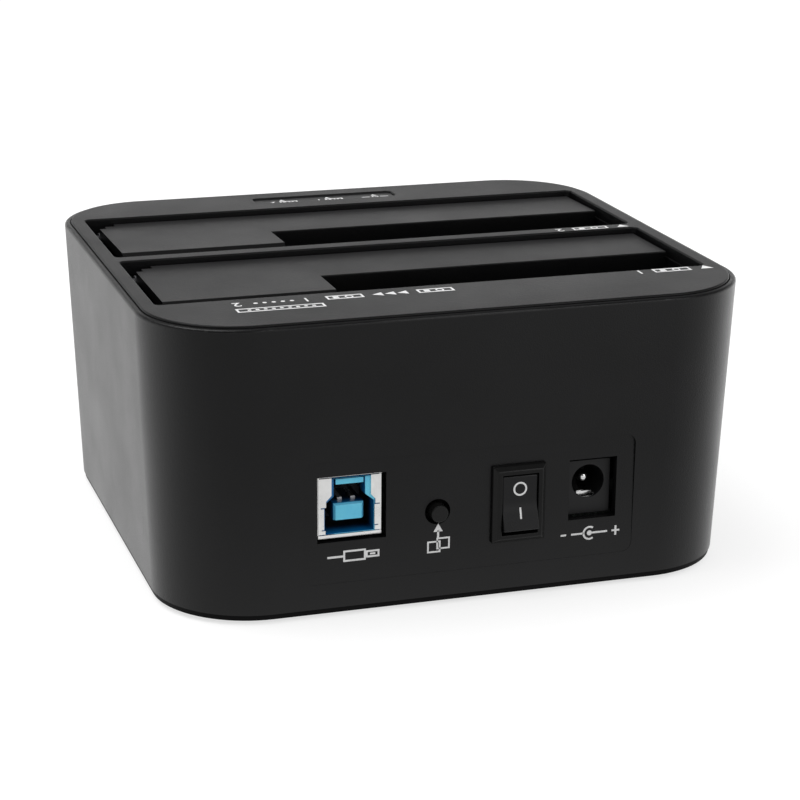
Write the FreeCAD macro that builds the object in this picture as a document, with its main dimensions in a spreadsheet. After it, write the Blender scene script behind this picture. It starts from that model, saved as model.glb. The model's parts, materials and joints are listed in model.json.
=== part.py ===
# Two-bay hard drive docking station, in millimetres.
# The front is -Y, the back with the sockets is +Y, and +Z is up.
# The origin is on the floor, under the middle of the whole, the rocker that stands out behind included.
import FreeCAD, Part

import math
import os
import re

import Sketcher

Vector = FreeCAD.Vector

# The driving sizes. Each becomes a cell of the sheet, under its own name.
SIZES = {
    # Drives that the dock takes: a 3.5 inch one is as wide as this, with this play at each side
    "drive_wide": 101.6,
    "drive_play": 0.6,
    # Bay openings in the top plate, and the bridge between them
    "bay_wide": 108.2,
    "bay_deep": 33.7,
    "bay_bridge": 3.43,
    "bay_round": 1.2,
    "back_margin": 19.8,
    "front_margin": 16.37,
    # Shell: a sleeve with rounded corners that narrows towards its foot
    "shell_wall": 2.0,
    "corner_rad": 18.8,
    "side_draft": 2.15,
    "back_draft": 1.0,
    "front_draft": 0.3,
    "rim_wide": 1.1,
    "rim_round": 0.6,
    "post_rad": 3.6,
    "post_bite": 0.8,
    "post_tall": 11.0,
    # Top plate, set into the shell's rim and a little proud of it
    "plate_thick": 2.5,
    "plate_proud": 0.4,
    "plate_gap": 0.2,
    "plate_round": 0.35,
    "boss_rad": 3.25,
    "boss_tall": 7.0,
    "boss_out": 40.0,
    # Inner frame that forms the two wells under the plate
    "well_tall": 24.5,
    "well_wall": 1.0,
    "well_step": 0.3,
    "well_gap": 0.25,
    "port_headroom": 2.6,
    "guide_deep": 8.0,
    "guide_drop": 5.1,
    "guide_rise": 2.5,
    "rest_thick": 1.6,
    "rest_reach": 46.5,
    "ear_thick": 2.2,
    # Flaps, hinged along their front edges
    "flap_sink": 1.15,
    "flap_thick": 1.8,
    "flap_end_gap": 0.6,
    "flap_right_gap": 0.9,
    "flap_left_gap": 2.4,
    "flap_lip_start": 5.5,
    "flap_lip_gap": 2.3,
    "slot_deep": 16.3,
    "slot_wide": 72.7,
    "hinge_in": 2.0,
    "hinge_drop": 2.9,
    "hinge_rad": 1.0,
    "hinge_play": 0.05,
    "barrel_rad": 1.7,
    "barrel_long": 9.0,
    "pin_reach": 0.15,
    "spring_wire": 0.5,
    "spring_turns": 5.75,
    "spring_leg": 7.0,
    # Light strip near the front edge of the plate
    "light_wide": 31.2,
    "light_deep": 4.8,
    "light_in": 6.2,
    "light_sink": 0.3,
    "light_thick": 0.8,
    "light_pitch": 10.3,
    "light_hole": 1.2,
    # Base plate, feet and screws
    "foot_proud": 0.8,
    "foot_rad": 5.0,
    "foot_thick": 1.8,
    "foot_inset": 17.0,
    "base_thick": 2.2,
    "base_flange": 1.1,
    "base_inset": 0.3,
    "standoff_tall": 9.8,
    "standoff_rad": 3.0,
    "screw_rad": 1.2,
    "screw_play": 0.05,
    "head_rad": 2.3,
    "head_tall": 1.3,
    # Main board
    "board_thick": 1.6,
    "board_side_gap": 4.1,
    "board_back_gap": 0.5,
    "board_front_gap": 20.5,
    # Upright drive sockets
    "socket_offset": 20.68,
    "socket_wide": 42.2,
    "socket_foot_deep": 8.4,
    "socket_foot_tall": 4.5,
    "socket_deep": 5.4,
    "socket_tall": 10.6,
    "socket_setback": 4.5,
    "contact_pitch": 1.27,
    # Port panel on the back
    "panel_wide": 64.4,
    "panel_tall": 23.6,
    "panel_rise": 0.05,
    "panel_round": 2.0,
    "panel_drop": 26.2,
    "panel_shift": 0.3,
    # Type B socket
    "usb_place": 22.9,
    "usb_wide": 12.1,
    "usb_tall": 11.6,
    "usb_long": 16.0,
    "usb_lift": 0.9,
    "usb_sink": 0.8,
    "usb_skin": 0.35,
    # Power socket
    "jack_place": -24.1,
    "jack_wide": 9.0,
    "jack_tall": 11.0,
    "jack_long": 14.0,
    "jack_sink": 2.0,
    "jack_hole": 3.2,
    "jack_hole_rise": 6.45,
    "jack_pin": 1.0,
    # Rocker switch
    "switch_place": -9.3,
    "switch_rise": 4.5,
    "bezel_wide": 10.5,
    "bezel_tall": 15.0,
    "bezel_proud": 1.6,
    "bezel_chamfer": 0.9,
    "switch_wide": 8.6,
    "switch_tall": 12.8,
    "switch_long": 11.0,
    "rocker_wide": 6.9,
    "rocker_play": 0.1,
    "rocker_rad": 5.73,
    "rocker_tilt": 18.0,
    "rocker_sink": 0.4,
    "crease_half": 1.6,
    "pivot_in": 0.6,
    # Clone button
    "button_place": 6.35,
    "button_rise": 4.2,
    "button_rad": 1.65,
    "button_proud": 1.6,
    "button_hole": 2.45,
    "tact_wide": 6.2,
    "tact_long": 3.6,
}

# Places worked out from the sizes.
PLACES = {
    "bay_half": "bay_wide / 2",
    "well_half": "bay_half - well_step",
    "base_top": "foot_proud + base_thick",
    "shell_low": "foot_proud + base_flange",
    "board_low": "base_top + standoff_tall",
    "board_top": "board_low + board_thick",
    "usb_low": "board_top + usb_lift",
    "well_low": "usb_low + usb_tall + port_headroom",
    "plate_low": "well_low + well_tall",
    "plate_top": "plate_low + plate_thick",
    "rim_top": "plate_top - plate_proud",
    "shell_tall": "rim_top - shell_low",
    "guide_low": "well_low - guide_drop",
    "draft_at_guide": "side_draft * (rim_top - guide_low) / shell_tall",
    "half_wide": "well_half + well_wall + well_gap + shell_wall + draft_at_guide",
    "bay_pitch": "bay_deep + bay_bridge",
    "body_deep": "back_margin + bay_deep + bay_pitch + front_margin",
    "rocker_grip": "(bezel_proud - rocker_sink + pivot_in) * cos(rocker_tilt) / rocker_rad",
    "rocker_reach": "rocker_rad * (rocker_grip * cos(rocker_tilt)"
    " + sqrt(1 - rocker_grip * rocker_grip) * sin(rocker_tilt))",
    "rear_reach": "rocker_reach - pivot_in + panel_rise - back_draft",
    "rim_back": "(body_deep - rear_reach) / 2",
    "rim_front": "rim_back - body_deep",
    "body_middle": "(rim_back + rim_front) / 2",
    "bay_near": "rim_back - back_margin",
    "foot_half": "half_wide - side_draft",
    "foot_back": "rim_back - back_draft",
    "foot_front": "rim_front + front_draft",
    "post_reach": "(corner_rad - shell_wall + post_bite - post_rad) * cos(45)",
    "post_side": "foot_half - corner_rad + post_reach",
    "post_back": "foot_back - corner_rad + post_reach",
    "post_front": "foot_front + corner_rad - post_reach",
    "plate_half": "half_wide - rim_wide - plate_gap",
    "plate_back": "rim_back - rim_wide - plate_gap",
    "plate_front": "rim_front + rim_wide + plate_gap",
    "flap_top": "plate_top - flap_sink",
    "hinge_high": "flap_top - hinge_drop",
    "flap_right": "-(bay_half - flap_right_gap)",
    "flap_left": "bay_half - flap_left_gap",
    "slot_left": "slot_wide - bay_half",
    "panel_back": "foot_back + panel_rise",
    "board_half": "foot_half - shell_wall - board_side_gap",
    "board_back": "foot_back - shell_wall - board_back_gap",
    "board_front": "rim_front + board_front_gap",
    "tab_half": "post_side - post_rad - 2.6",
    "tab_start": "post_back - post_rad - 2",
    "standoff_side": "board_half - 4",
    "standoff_back": "tab_start - 6",
    "standoff_front": "board_front + 6",
    "light_front": "rim_front + light_in",
    "light_middle": "light_front + light_deep / 2",
    "light_floor": "plate_top - light_sink - light_thick",
    "boss_back": "bay_near + 9.8",
    "boss_front": "bay_near - bay_deep - bay_pitch - 8.4",
    "jack_middle": "board_top + jack_hole_rise",
    "switch_middle": "board_top + switch_rise",
    "bezel_front": "panel_back + bezel_proud",
    "pivot_deep": "panel_back - pivot_in",
    "button_middle": "board_top + button_rise",
    "usb_face": "panel_back - usb_sink",
    "usb_middle": "usb_low + usb_tall / 2",
    "jack_face": "panel_back - jack_sink",
    "chip_line": "bay_near - socket_setback - bay_pitch / 2",
    "capacitor_line": "chip_line - 32.6",
}

doc = FreeCAD.newDocument("docking_station")

sheet = doc.addObject("Spreadsheet::Sheet", "Sizes")
for row, (alias, size) in enumerate(SIZES.items(), start=1):
    sheet.set("A%d" % row, alias)
    sheet.set("B%d" % row, str(size))
    sheet.setAlias("B%d" % row, alias)
doc.recompute()

places = doc.addObject("App::VarSet", "Places")


def expression(text):
    """Puts the sheet's or the place list's name before each of their names."""

    def prefixed(found):
        word = found.group()
        if word in SIZES:
            return "Sizes." + word
        return "Places." + word if word in PLACES or word == "probe" else word

    return re.sub(r"[a-z][a-z_]*", prefixed, text)


for name, text in PLACES.items():
    places.addProperty("App::PropertyFloat", name, "Places")
    places.setExpression(name, expression(text))
places.addProperty("App::PropertyFloat", "probe", "Places")
doc.recompute()


def value(text):
    """The number that an expression in sizes and places comes to."""
    places.setExpression("probe", expression(str(text)))
    places.recompute()
    return places.probe


def bind(item, **properties):
    """Ties properties to expressions; a double underscore stands for a dot."""
    for name, text in properties.items():
        item.setExpression(name.replace("__", "."), expression(str(text)))


def box(name, low, high):
    """A box between two corners, each given as three expressions."""
    item = doc.addObject("Part::Box", name)
    for axis, side, start, end in zip("xyz", ("Length", "Width", "Height"), low, high):
        item.setExpression("Placement.Base." + axis, expression(str(start)))
        item.setExpression(side, expression("(%s) - (%s)" % (end, start)))
    return item


TURNS = {
    "x": FreeCAD.Rotation(Vector(0, 1, 0), 90),
    "y": FreeCAD.Rotation(Vector(1, 0, 0), -90),
    "z": FreeCAD.Rotation(),
}


def cylinder(name, radius, start, length, axis="z"):
    """A cylinder from its start point along one axis."""
    item = doc.addObject("Part::Cylinder", name)
    item.Placement = FreeCAD.Placement(Vector(), TURNS[axis])
    for letter, text in zip("xyz", start):
        item.setExpression("Placement.Base." + letter, expression(str(text)))
    bind(item, Radius=radius, Height=length)
    return item


def group(name, items):
    """Separate solids kept in one shape."""
    item = doc.addObject("Part::Compound", name)
    item.Links = items
    return item


def join(name, items):
    """Touching solids made one."""
    item = doc.addObject("Part::MultiFuse", name)
    item.Shapes = items
    item.Refine = True
    return item


def cut(name, base, tools):
    """The base without its tools."""
    item = doc.addObject("Part::Cut", name)
    item.Base = base
    item.Tool = tools[0] if len(tools) == 1 else group(name + "_tools", tools)
    item.Refine = True
    return item


def softened(name, base, radius, wanted, kind="Part::Fillet"):
    """Rounds or chamfers the edges whose middle and box the test accepts."""
    doc.recompute()
    size = value(radius)
    item = doc.addObject(kind, name)
    item.Base = base
    item.Edges = [(i, size, size) for i, edge in enumerate(base.Shape.Edges, start=1) if wanted(edge)]
    doc.recompute()
    return item


def level(edge, axis, height):
    """Whether an edge lies in the plane across an axis at a height."""
    bounds = edge.BoundBox
    low, high = getattr(bounds, axis + "Min"), getattr(bounds, axis + "Max")
    return abs(low - height) < 1e-4 and abs(high - height) < 1e-4


def start_sketch(body, name, plane, offset):
    """A sketch on one of the body's own planes, moved along its normal."""
    sketch = body.newObject("Sketcher::SketchObject", name)
    support = [face for face in body.Origin.OriginFeatures if face.Role == plane][0]
    sketch.AttachmentSupport = [(support, "")]
    sketch.MapMode = "FlatFace"
    sketch.setExpression("AttachmentOffset.Base.z", expression(offset))
    return sketch


def hold(sketch, kind, geometry, point, text):
    """Fixes one coordinate of a sketch point to an expression."""
    index = sketch.addConstraint(Sketcher.Constraint(kind, -1, 1, geometry, point, value(text)))
    sketch.setExpression("Constraints[%d]" % index, expression(text))


def draw_polygon(sketch, points):
    """A closed outline through points that are given as pairs of expressions."""
    corners = [Vector(value(u), value(v), 0) for u, v in points]
    count = len(corners)
    for i in range(count):
        sketch.addGeometry(Part.LineSegment(corners[i], corners[(i + 1) % count]), False)
    for i in range(count):
        sketch.addConstraint(Sketcher.Constraint("Coincident", i, 2, (i + 1) % count, 1))
    for i, (u, v) in enumerate(points):
        hold(sketch, "DistanceX", i, 1, u)
        hold(sketch, "DistanceY", i, 1, v)


def draw_rounded(sketch, left, right, low, high, radius):
    """A rectangle with four equal round corners."""
    x0, x1, y0, y1, r = (value(text) for text in (left, right, low, high, radius))
    lines = [
        ((x0 + r, y0), (x1 - r, y0)),
        ((x1, y0 + r), (x1, y1 - r)),
        ((x1 - r, y1), (x0 + r, y1)),
        ((x0, y1 - r), (x0, y0 + r)),
    ]
    centres = [(x1 - r, y0 + r), (x1 - r, y1 - r), (x0 + r, y1 - r), (x0 + r, y0 + r)]
    for (a, b), (c, d) in lines:
        sketch.addGeometry(Part.LineSegment(Vector(a, b, 0), Vector(c, d, 0)), False)
    for i, (a, b) in enumerate(centres):
        circle = Part.Circle(Vector(a, b, 0), Vector(0, 0, 1), r)
        start = math.radians(90 * i - 90)
        sketch.addGeometry(Part.ArcOfCircle(circle, start, start + math.pi / 2), False)
    for i in range(4):
        sketch.addConstraint(Sketcher.Constraint("Tangent", i, 2, 4 + i, 1))
        sketch.addConstraint(Sketcher.Constraint("Tangent", 4 + i, 2, (i + 1) % 4, 1))
        kind = "Horizontal" if i % 2 == 0 else "Vertical"
        sketch.addConstraint(Sketcher.Constraint(kind, i))
        index = sketch.addConstraint(Sketcher.Constraint("Radius", 4 + i, r))
        sketch.setExpression("Constraints[%d]" % index, expression(radius))
    hold(sketch, "DistanceY", 0, 1, low)
    hold(sketch, "DistanceX", 1, 1, right)
    hold(sketch, "DistanceY", 2, 1, high)
    hold(sketch, "DistanceX", 3, 1, left)


def prism(name, plane, start, end, draw, *outline):
    """A body padded from one outline, between two places along its plane's axis."""
    body = doc.addObject("PartDesign::Body", name)
    place = "-(%s)" % end if plane == "XZ_Plane" else start
    sketch = start_sketch(body, name + "_outline", plane, place)
    draw(sketch, *outline)
    pad = body.newObject("PartDesign::Pad", name + "_pad")
    pad.Profile = sketch
    pad.setExpression("Length", expression("(%s) - (%s)" % (end, start)))
    sketch.Visibility = False
    return body


def shape_feature(name, shape):
    """A solid that is made with the shape functions."""
    item = doc.addObject("Part::Feature", name)
    item.Shape = shape
    return item


PIECES = []


def piece(name, item):
    """Names a finished piece after its node."""
    item.Label = name
    PIECES.append(item)
    return item


def mirrored_pairs(side, back, front):
    """The four places of a rectangle's corners."""
    return [(sign + side, depth) for depth in (back, front) for sign in ("", "-")]


POSTS = mirrored_pairs("post_side", "post_back", "post_front")
BOSSES = mirrored_pairs("boss_out", "boss_back", "boss_front")
STANDOFFS = mirrored_pairs("standoff_side", "standoff_back", "standoff_front")
BAYS = (1, 2)


def near(bay):
    """The back edge of a bay's opening."""
    return "(bay_near - %d * bay_pitch)" % (bay - 1)


def far(bay):
    """The front edge of a bay's opening."""
    return "(%s - bay_deep)" % near(bay)


# Shell: two lofts between the foot's outline and the rim's, one inside the other
def loft_shell():
    body = doc.addObject("PartDesign::Body", "shell_sleeve")
    outlines = {}
    for part, inset in (("outer", "0"), ("inner", "shell_wall")):
        for end, place, side, back, front in (
            ("foot", "shell_low", "foot_half", "foot_back", "foot_front"),
            ("rim", "rim_top", "half_wide", "rim_back", "rim_front"),
        ):
            sketch = start_sketch(body, "shell_%s_%s" % (part, end), "XY_Plane", place)
            half = "(%s - %s)" % (side, inset)
            low, high = "%s + %s" % (front, inset), "%s - %s" % (back, inset)
            draw_rounded(sketch, "-" + half, half, low, high, "corner_rad - " + inset)
            outlines[part, end] = sketch
    doc.recompute()
    for part, kind in (("outer", "PartDesign::AdditiveLoft"), ("inner", "PartDesign::SubtractiveLoft")):
        loft = body.newObject(kind, "shell_%s_loft" % part)
        loft.Profile = outlines[part, "foot"]
        loft.Sections = [outlines[part, "rim"]]
        loft.Ruled = True
        doc.recompute()
        body.Tip = loft
    return body


sleeve = loft_shell()
doc.recompute()
post_start = "base_top"
posts = [cylinder("post_%d" % i, "post_rad", (x, y, post_start), "post_tall") for i, (x, y) in enumerate(POSTS, 1)]
post_holes = [
    cylinder("post_hole_%d" % i, "screw_rad + screw_play", (x, y, post_start), "post_tall - 1")
    for i, (x, y) in enumerate(POSTS, 1)
]
plate_seat = prism(
    "plate_seat",
    "XY_Plane",
    "plate_low",
    "rim_top + 1",
    draw_rounded,
    "-(half_wide - rim_wide)",
    "half_wide - rim_wide",
    "rim_front + rim_wide",
    "rim_back - rim_wide",
    "corner_rad - rim_wide",
)
panel_recess = prism(
    "panel_recess",
    "XZ_Plane",
    "panel_back",
    "rim_back + 1",
    draw_rounded,
    "-panel_wide / 2 - panel_shift",
    "panel_wide / 2 - panel_shift",
    "plate_top - panel_drop - panel_tall",
    "plate_top - panel_drop",
    "panel_round",
)
wall_inside = "foot_back - shell_wall - 2"
usb_window = box(
    "usb_window",
    ("usb_place - usb_wide / 2 - 0.6", wall_inside, "usb_low - 0.6"),
    ("usb_place + usb_wide / 2 + 0.35", "rim_back", "usb_low + usb_tall + 0.4"),
)
jack_window = box(
    "jack_window",
    ("jack_place - jack_wide / 2 - 0.4", wall_inside, "board_top - 0.3"),
    ("jack_place + jack_wide / 2 + 0.1", "rim_back", "board_top + jack_tall + 0.6"),
)
switch_window = box(
    "switch_window",
    ("switch_place - switch_wide / 2 - 0.1", wall_inside, "switch_middle - switch_tall / 2 - 0.1"),
    ("switch_place + switch_wide / 2 + 0.1", "rim_back", "switch_middle + switch_tall / 2 + 0.1"),
)
button_window = cylinder("button_window", "button_hole", ("button_place", wall_inside, "button_middle"), "6", "y")
shell_solid = cut(
    "shell_solid",
    join("shell_with_posts", [sleeve] + posts),
    [plate_seat, panel_recess, usb_window, jack_window, switch_window, button_window] + post_holes,
)
rim_middle = value("half_wide - rim_wide / 2")
rim_middle_deep = value("body_deep / 2 - rim_wide / 2")
rim_height = value("rim_top")
body_middle = value("body_middle")
corner_middle = value("half_wide - corner_rad"), value("body_deep / 2 - corner_rad")


def on_outer_rim(edge):
    """Whether an edge is the rim's outer one, straight or round."""
    if not level(edge, "Z", rim_height):
        return False
    middle = edge.valueAt((edge.FirstParameter + edge.LastParameter) / 2)
    x, y = abs(middle.x), abs(middle.y - body_middle)
    out = math.hypot(x - corner_middle[0], y - corner_middle[1])
    in_corner = x > corner_middle[0] and y > corner_middle[1]
    rim_arc = value("corner_rad - rim_wide / 2")
    return out > rim_arc if in_corner else x > rim_middle or y > rim_middle_deep


piece("main_shell", softened("shell_rounded", shell_solid, "rim_round", on_outer_rim))

# Top plate: two bay openings, the light strip's recess and the bosses beneath
plate_blank = prism(
    "plate_blank",
    "XY_Plane",
    "plate_low",
    "plate_top",
    draw_rounded,
    "-plate_half",
    "plate_half",
    "plate_front",
    "plate_back",
    "corner_rad - rim_wide - plate_gap",
)
bay_holes = [
    prism(
        "bay_hole_%d" % bay,
        "XY_Plane",
        "plate_low - 1",
        "plate_top + 1",
        draw_rounded,
        "-bay_half",
        "bay_half",
        far(bay),
        near(bay),
        "bay_round",
    )
    for bay in BAYS
]
light_recess = prism(
    "light_recess",
    "XY_Plane",
    "light_floor",
    "plate_top + 1",
    draw_rounded,
    "-light_wide / 2",
    "light_wide / 2",
    "light_front",
    "light_front + light_deep",
    "1",
)
light_holes = [
    cylinder("light_hole_%d" % i, "light_hole", ("%d * light_pitch" % i, "light_middle", "plate_low - 1"), "plate_thick")
    for i in (-1, 0, 1)
]
bosses = [cylinder("boss_%d" % i, "boss_rad", (x, y, "plate_low - boss_tall"), "boss_tall") for i, (x, y) in enumerate(BOSSES)]
boss_holes = [
    cylinder("boss_hole_%d" % i, "screw_rad + screw_play", (x, y, "plate_low - boss_tall"), "boss_tall - 0.5")
    for i, (x, y) in enumerate(BOSSES)
]
LIGHT_BOARD_SCREWS = ("light_wide / 2 - 1.2", "-(light_wide / 2 - 1.2)")
light_board_top = "plate_low - 2.8"
light_bosses = [
    cylinder("light_boss_%d" % i, "1.9", (x, "light_middle", light_board_top), "2.8")
    for i, x in enumerate(LIGHT_BOARD_SCREWS)
]
light_boss_holes = [
    cylinder("light_boss_hole_%d" % i, "0.8 + screw_play", (x, "light_middle", light_board_top), "2.6")
    for i, x in enumerate(LIGHT_BOARD_SCREWS)
]
plate_solid = cut(
    "plate_solid",
    join("plate_with_bosses", [plate_blank] + bosses + light_bosses),
    bay_holes + [light_recess] + light_holes + boss_holes + light_boss_holes,
)
plate_height = value("plate_top")
piece(
    "top_plate",
    softened("plate_rounded", plate_solid, "plate_round", lambda edge: level(edge, "Z", plate_height)),
)
piece(
    "led_window",
    prism(
        "light_strip",
        "XY_Plane",
        "light_floor",
        "plate_top - light_sink",
        draw_rounded,
        "-(light_wide / 2 - 0.1)",
        "light_wide / 2 - 0.1",
        "light_front + 0.1",
        "light_front + light_deep - 0.1",
        "0.9",
    ),
)

# Inner frame: the two wells, the saddles for the flap pins, the drive guides and the fixing ears
frame_blank = box(
    "frame_blank",
    ("-(well_half + well_wall)", far(2) + " - well_wall", "well_low"),
    ("well_half + well_wall", "bay_near + well_wall", "plate_low"),
)
wells = [
    box("well_%d" % bay, ("-well_half", far(bay), "well_low - 1"), ("well_half", near(bay), "plate_low + 1"))
    for bay in BAYS
]
guides = []
for bay in BAYS:
    guide_in = "(drive_wide / 2 + drive_play)"
    for side, low, high in (
        ("left", guide_in, "(well_half + well_wall)"),
        ("right", "-(well_half + well_wall)", "-" + guide_in),
    ):
        guides.append(
            box(
                "guide_%s_%d" % (side, bay),
                (low, near(bay) + " - guide_deep", "guide_low"),
                (high, near(bay) + " + 0.5", "well_low + guide_rise"),
            )
        )
    for side, low, high in (
        ("left", "rest_reach", "(well_half + well_wall)"),
        ("right", "-(well_half + well_wall)", "-rest_reach"),
    ):
        guides.append(
            box(
                "rest_%s_%d" % (side, bay),
                (low, near(bay) + " - guide_deep", "guide_low"),
                (high, near(bay) + " + 0.5", "guide_low + rest_thick"),
            )
        )
ears = []
for i, (x, y) in enumerate(BOSSES):
    wall = "bay_near + 0.5" if y == "boss_back" else far(2) + " - 0.5"
    out = y + (" + 4.5" if y == "boss_back" else " - 4.5")
    low, high = (wall, out) if y == "boss_back" else (out, wall)
    ears.append(
        box(
            "ear_%d" % i,
            (x + " - 4.5", low, "plate_low - boss_tall - ear_thick"),
            (x + " + 4.5", high, "plate_low - boss_tall"),
        )
    )
saddles = []
for bay in BAYS:
    line = far(bay) + " + hinge_in"
    groove = "hinge_rad + hinge_play"
    saddles.append(
        cylinder("saddle_round_%d" % bay, groove, ("-half_wide", line, "hinge_high"), "2 * half_wide", "x")
    )
    saddles.append(
        box(
            "saddle_slot_%d" % bay,
            ("-half_wide", "%s - (%s)" % (line, groove), "hinge_high"),
            ("half_wide", "%s + %s" % (line, groove), "plate_low + 1"),
        )
    )
ear_holes = [
    cylinder("ear_hole_%d" % i, "screw_rad + 0.3", (x, y, "plate_low - boss_tall - ear_thick - 1"), "ear_thick + 2")
    for i, (x, y) in enumerate(BOSSES)
]
piece(
    "drive_cradle",
    cut(
        "frame_solid",
        join("frame_joined", [cut("frame_walls", frame_blank, wells)] + guides + ears),
        saddles + ear_holes,
    ),
)


# Flaps: each an L that leaves the small drive's slot open, with a bent lip and hinge barrels
def flap(bay):
    back, front = near(bay), far(bay)
    name = "flap_%d_" % bay
    line = front + " + hinge_in"
    lip_rise = "(flap_lip_start - flap_lip_gap)"
    outline = [
        (front + " + flap_end_gap", "flap_top"),
        (front + " + flap_end_gap", "flap_top - flap_thick"),
        (back + " - flap_lip_start - 0.8", "flap_top - flap_thick"),
        (back + " - flap_lip_gap - 1.3", "flap_top - flap_thick - %s + 0.5" % lip_rise),
        (back + " - flap_lip_gap", "flap_top - " + lip_rise),
        (back + " - flap_lip_start", "flap_top"),
    ]
    plate = prism(name + "plate", "YZ_Plane", "flap_right", "flap_left", draw_polygon, outline)
    barrels = []
    starts = ("flap_right", "-barrel_long / 2", "flap_left - 4 - barrel_long")
    for i, start in enumerate(starts):
        barrels.append(
            cylinder(name + "barrel_%d" % i, "barrel_rad", (start, line, "hinge_high"), "barrel_long", "x")
        )
    skirt = box(
        name + "skirt",
        ("flap_right", back + " - slot_deep - 1.2", "flap_top - flap_thick - 1.8"),
        ("slot_left + 1.2", back + " - slot_deep", "flap_top - flap_thick + 0.2"),
    )
    notch = box(
        name + "notch",
        ("flap_right - 1", back + " - slot_deep", "flap_top - 8"),
        ("slot_left", back + " + 1", "flap_top + 1"),
    )
    bore = cylinder(
        name + "bore", "hinge_rad + hinge_play", ("flap_right - 1", line, "hinge_high"), "bay_wide", "x"
    )
    spring_room = box(
        name + "spring_room",
        ("flap_left - 3.6", front, "hinge_high - 4"),
        ("flap_left + 1", front + " + 2.6", "flap_top + 1"),
    )
    spring_pocket = box(
        name + "spring_pocket",
        ("flap_left - 3.6", front, "hinge_high - 4"),
        ("flap_left + 1", line + " + 2", "flap_top - 1"),
    )
    leg_room = box(
        name + "leg_room",
        ("flap_left - 1.4", front, "hinge_high - 4"),
        ("flap_left + 1", front + " + 4.5", "flap_top + 1"),
    )
    solid = cut(
        name + "solid",
        join(name + "joined", [plate, skirt] + barrels),
        [notch, bore, spring_room, spring_pocket, leg_room],
    )
    top = value("flap_top")
    return softened(
        name + "rounded",
        solid,
        "0.25",
        lambda edge: level(edge, "Z", top) and edge.BoundBox.XLength > 10,
    )


for bay in BAYS:
    piece("flap_%d" % bay, flap(bay))
    piece(
        "flap_pin_%d" % bay,
        cylinder(
            "pin_%d" % bay,
            "hinge_rad",
            ("-(well_half + well_wall + pin_reach)", far(bay) + " + hinge_in", "hinge_high"),
            "2 * (well_half + well_wall + pin_reach)",
            "x",
        ),
    )


# Flap springs: a coil on each pin, with its leg against the frame's wall
def flap_spring(bay):
    wire = value("spring_wire") / 2
    mean = value("hinge_rad") + 0.05 + wire
    pitch = 2 * wire + 0.04
    turns = value("spring_turns")
    middle = Vector(value("flap_left - 3.3"), value(far(bay) + " + hinge_in"), value("hinge_high"))
    points = []
    steps = round(turns * 16)
    for step in range(steps + 1):
        turn = turns * step / steps
        angle = 2 * math.pi * turn
        points.append(middle + Vector(pitch * turn, mean * math.sin(angle), -mean * math.cos(angle)))
    leg_top = points[-1]
    wall = value(far(bay)) + wire + 0.02
    leg_long = value("spring_leg")
    for part in (0.1, 0.3, 0.6, 1.0):
        reach = leg_top.y + (wall - leg_top.y) * part
        points.append(Vector(leg_top.x + 0.02, reach, leg_top.z - leg_long * part))
    curve = Part.BSplineCurve()
    curve.interpolate(points)
    ring = Part.Wire([Part.makeCircle(wire, points[0], curve.tangent(curve.FirstParameter)[0])])
    return Part.Wire([curve.toShape()]).makePipeShell([ring], True, False)


for bay in BAYS:
    piece("flap_spring_%d" % bay, shape_feature("spring_%d" % bay, flap_spring(bay)))

# Base plate: a flange under the shell's edge, a step inside it and the board's standoffs
base_flange = prism(
    "base_rim",
    "XY_Plane",
    "foot_proud",
    "shell_low",
    draw_rounded,
    "-(foot_half - base_inset)",
    "foot_half - base_inset",
    "foot_front + base_inset",
    "foot_back - base_inset",
    "corner_rad - base_inset",
)
base_step = prism(
    "base_step",
    "XY_Plane",
    "foot_proud",
    "base_top",
    draw_rounded,
    "-(foot_half - shell_wall - 0.2)",
    "foot_half - shell_wall - 0.2",
    "foot_front + shell_wall + 0.2",
    "foot_back - shell_wall - 0.2",
    "corner_rad - shell_wall - 0.2",
)
standoffs = [
    cylinder("standoff_%d" % i, "standoff_rad", (x, y, "base_top - 0.5"), "standoff_tall + 0.5")
    for i, (x, y) in enumerate(STANDOFFS)
]
standoff_holes = [
    cylinder("standoff_hole_%d" % i, "screw_rad + screw_play", (x, y, "board_low - 7"), "8")
    for i, (x, y) in enumerate(STANDOFFS)
]
FEET = mirrored_pairs("(half_wide - foot_inset)", "rim_back - foot_inset", "rim_front + foot_inset")
foot_seats = [
    cylinder("foot_seat_%d" % i, "foot_rad", (x, y, "0"), "foot_thick") for i, (x, y) in enumerate(FEET)
]
head_seats = [
    cylinder("head_seat_%d" % i, "head_rad + 0.2", (x, y, "0"), "foot_proud + head_tall")
    for i, (x, y) in enumerate(POSTS)
]
base_holes = [
    cylinder("base_hole_%d" % i, "screw_rad + 0.2", (x, y, "0"), "base_top + 1") for i, (x, y) in enumerate(POSTS)
]
vents = [
    box(
        "vent_%d" % i,
        ("-14", "body_middle + %d * 5 - 1" % i, "0"),
        ("14", "body_middle + %d * 5 + 1" % i, "base_top + 1"),
    )
    for i in range(-2, 3)
]
piece(
    "base_plate",
    cut(
        "base_solid",
        join("base_joined", [base_flange, base_step] + standoffs),
        standoff_holes + foot_seats + head_seats + base_holes + vents,
    ),
)
piece(
    "rubber_feet",
    group(
        "feet",
        [cylinder("foot_%d" % i, "foot_rad - 0.05", (x, y, "0"), "foot_thick") for i, (x, y) in enumerate(FEET)],
    ),
)


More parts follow.
